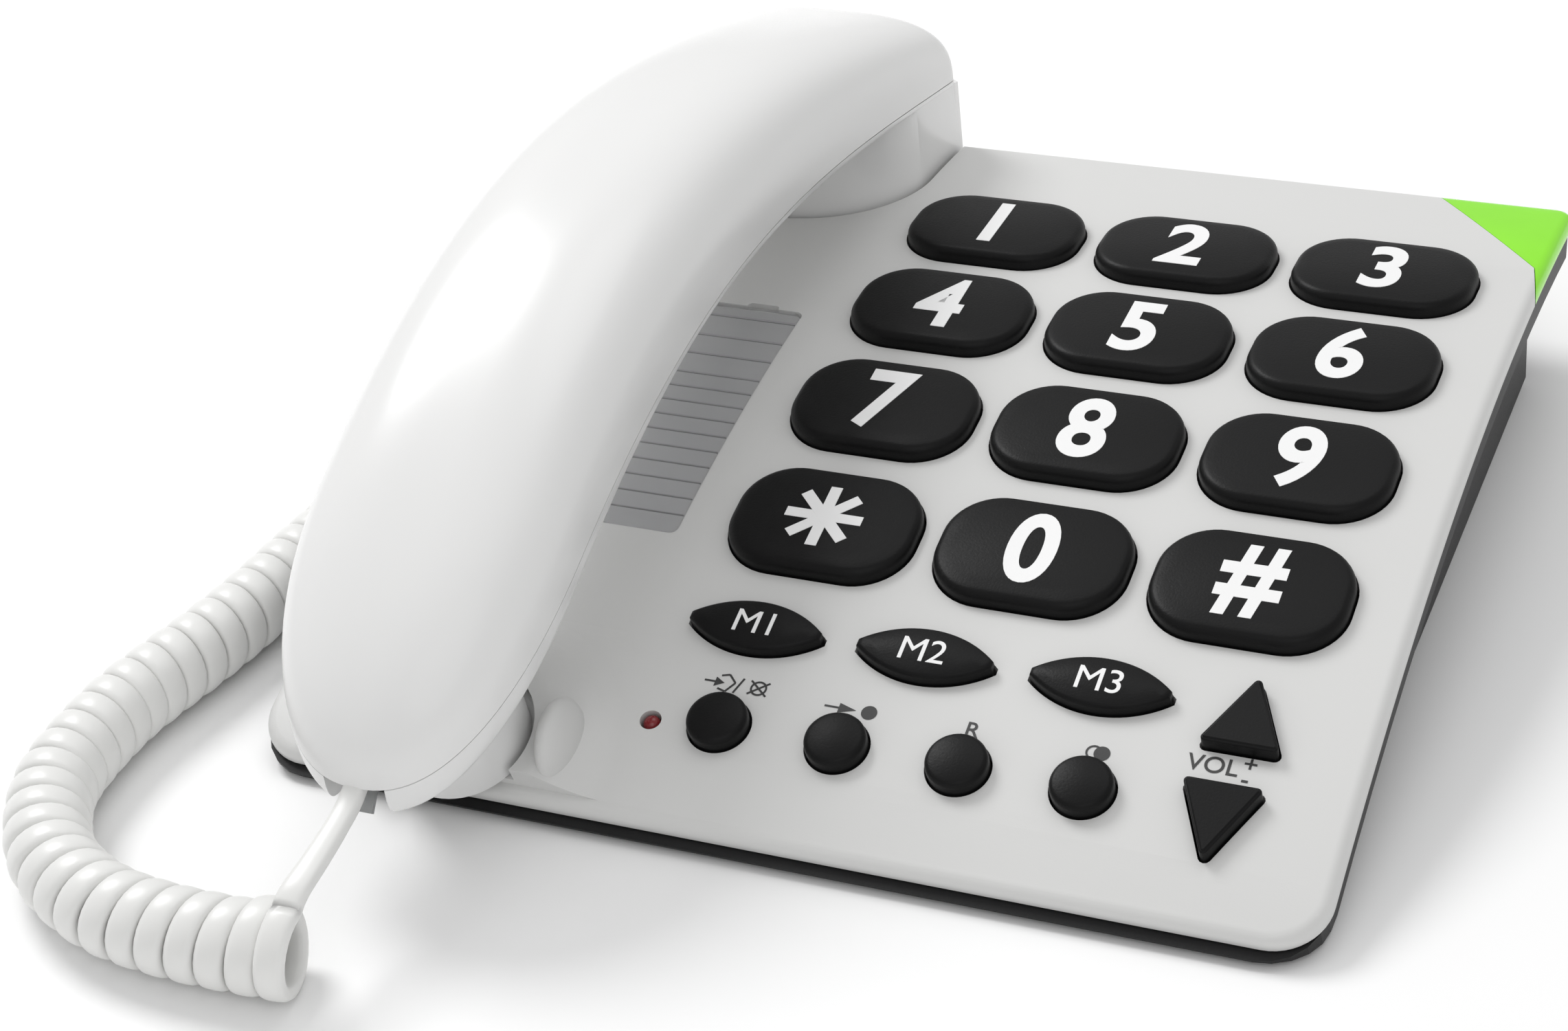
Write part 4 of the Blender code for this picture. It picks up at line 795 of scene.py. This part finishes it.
def handset_roof():
    count = 96
    outline = [(HANDSET_FRONT - 0.02 + (HANDSET_REAR - HANDSET_FRONT + 0.04) * i / count)
               for i in range(count + 1)]
    points = [(y, seam_z(y) - 0.0010) for y in outline]
    points += [(HANDSET_REAR + 0.02, -0.08), (HANDSET_FRONT - 0.02, -0.08)]
    upright = Matrix(((0, 0, 1, HANDSET_X), (1, 0, 0, 0), (0, 1, 0, 0), (0, 0, 0, 1)))
    return transform(extruded(points, -0.05, 0.05), upright)


def make_handset():
    upper = handset_half(crown, 2.9, 0.0, 1.0, 0.0)
    piece(upper, "handset_top", "handset", "handset", "white_casing", "handset_upper_shell", sharp=50)
    lower = handset_half(keel, 3.0, 0.0, -1.0, 0.0)
    mouth = deck_matrix(MOUTH_S, HANDSET_X)
    rear = HANDSET_REAR - 0.0001
    cup_outline = (arc(HANDSET_X, EAR_CENTRE_S, EAR_RADIUS, 180, 360, 64)
                   + [(HANDSET_X + EAR_RADIUS, rear - 0.001), (HANDSET_X + EAR_RADIUS - 0.001, rear),
                      (HANDSET_X - EAR_RADIUS + 0.001, rear), (HANDSET_X - EAR_RADIUS, rear - 0.001)])
    cup = extruded(cup_outline, -0.030, 0.0300)
    cut(cup, under_deck(WELL_DEPTH - GAP))
    boolean(cup, handset_roof(), "INTERSECT")
    shaft = transform(cylinder(MOUTH_RADIUS, 0.0018, 0.0300, sides=64, top_radius=0.0125), mouth)
    boolean(shaft, handset_roof(), "INTERSECT")
    join(lower, cup, shaft)
    cut(lower, box((SOCKET_MOUTH.x - 0.0053, -0.160, -0.030),
                   (SOCKET_MOUTH.x + 0.0053, -0.1250, 0.020)))
    piece(lower, "handset_bottom", "handset", "handset", "white_casing", "handset_lower_shell", sharp=40)


# ---- CAD pieces that keep their shape ----
def dress_nodes():
    looks = {"base_lower_casing": "dark", "main_circuit_board": "board", "keypad_contact_mat": "rubber",
             "index_card_cover": "cover", "hook_plunger": "nylon", "hook_lever": "nylon",
             "hook_lever_pin": "steel",
             "hook_switch": "dark", "ringer_speaker": "steel", "ballast_weight": "steel", "line_socket": "dark",
             "base_cord_socket": "dark", "ringer_volume_slider": "nylon", "handset_cord_socket": "dark",
             "handset_plug": "clear", "base_plug": "clear", "receiver_capsule": "steel",
             "microphone_capsule": "steel", "handset_weight": "steel"}
    for name, node in NODES.items():
        look = looks.get(name)
        if name.startswith("foot_"):
            look = "rubber"
        elif "_screw_" in name:
            look = "steel"
        if look:
            node.data.materials.clear()
            node.data.materials.append(MATERIALS[look])


# ---- stage ----
def make_stage():
    """White floor, even surroundings and three soft lamps."""
    bm = bmesh.new()
    bmesh.ops.create_grid(bm, x_segments=1, y_segments=1, size=6.0)
    floor = from_bmesh(bm, "floor")
    white = node_material("floor_white", (0.95, 0.95, 0.95), 0.6, bump=0.0, variation=0.002)
    floor.data.materials.append(white)
    world = bpy.data.worlds.new("studio")
    world.use_nodes = True
    world.node_tree.nodes["Background"].inputs["Color"].default_value = (1.0, 1.0, 1.0, 1.0)
    world.node_tree.nodes["Background"].inputs["Strength"].default_value = 0.62
    bpy.context.scene.world = world
    bpy.context.scene.view_settings.view_transform = "Standard"
    for name, place, size, power in (("key_light", (-0.75, 0.35, 0.95), 0.55, 7.5),
                                     ("fill_light", (0.3, -0.9, 0.8), 0.9, 1.6),
                                     ("top_light", (0.1, 0.4, 1.2), 0.8, 1.8)):
        data = bpy.data.lights.new(name, "AREA")
        data.shape = "DISK"
        data.size = size
        data.energy = power
        light = bpy.data.objects.new(name, data)
        light.location = place
        aim = Vector((0.0, 0.0, 0.03)) - Vector(place)
        light.rotation_euler = aim.to_track_quat("-Z", "Y").to_euler()
        bpy.context.collection.objects.link(light)


make_camera()
make_cord()
make_casing()
for listed in keys():
    make_key(*listed)
make_card()
make_lamp()
make_print()
make_handset()
dress_nodes()
make_stage()
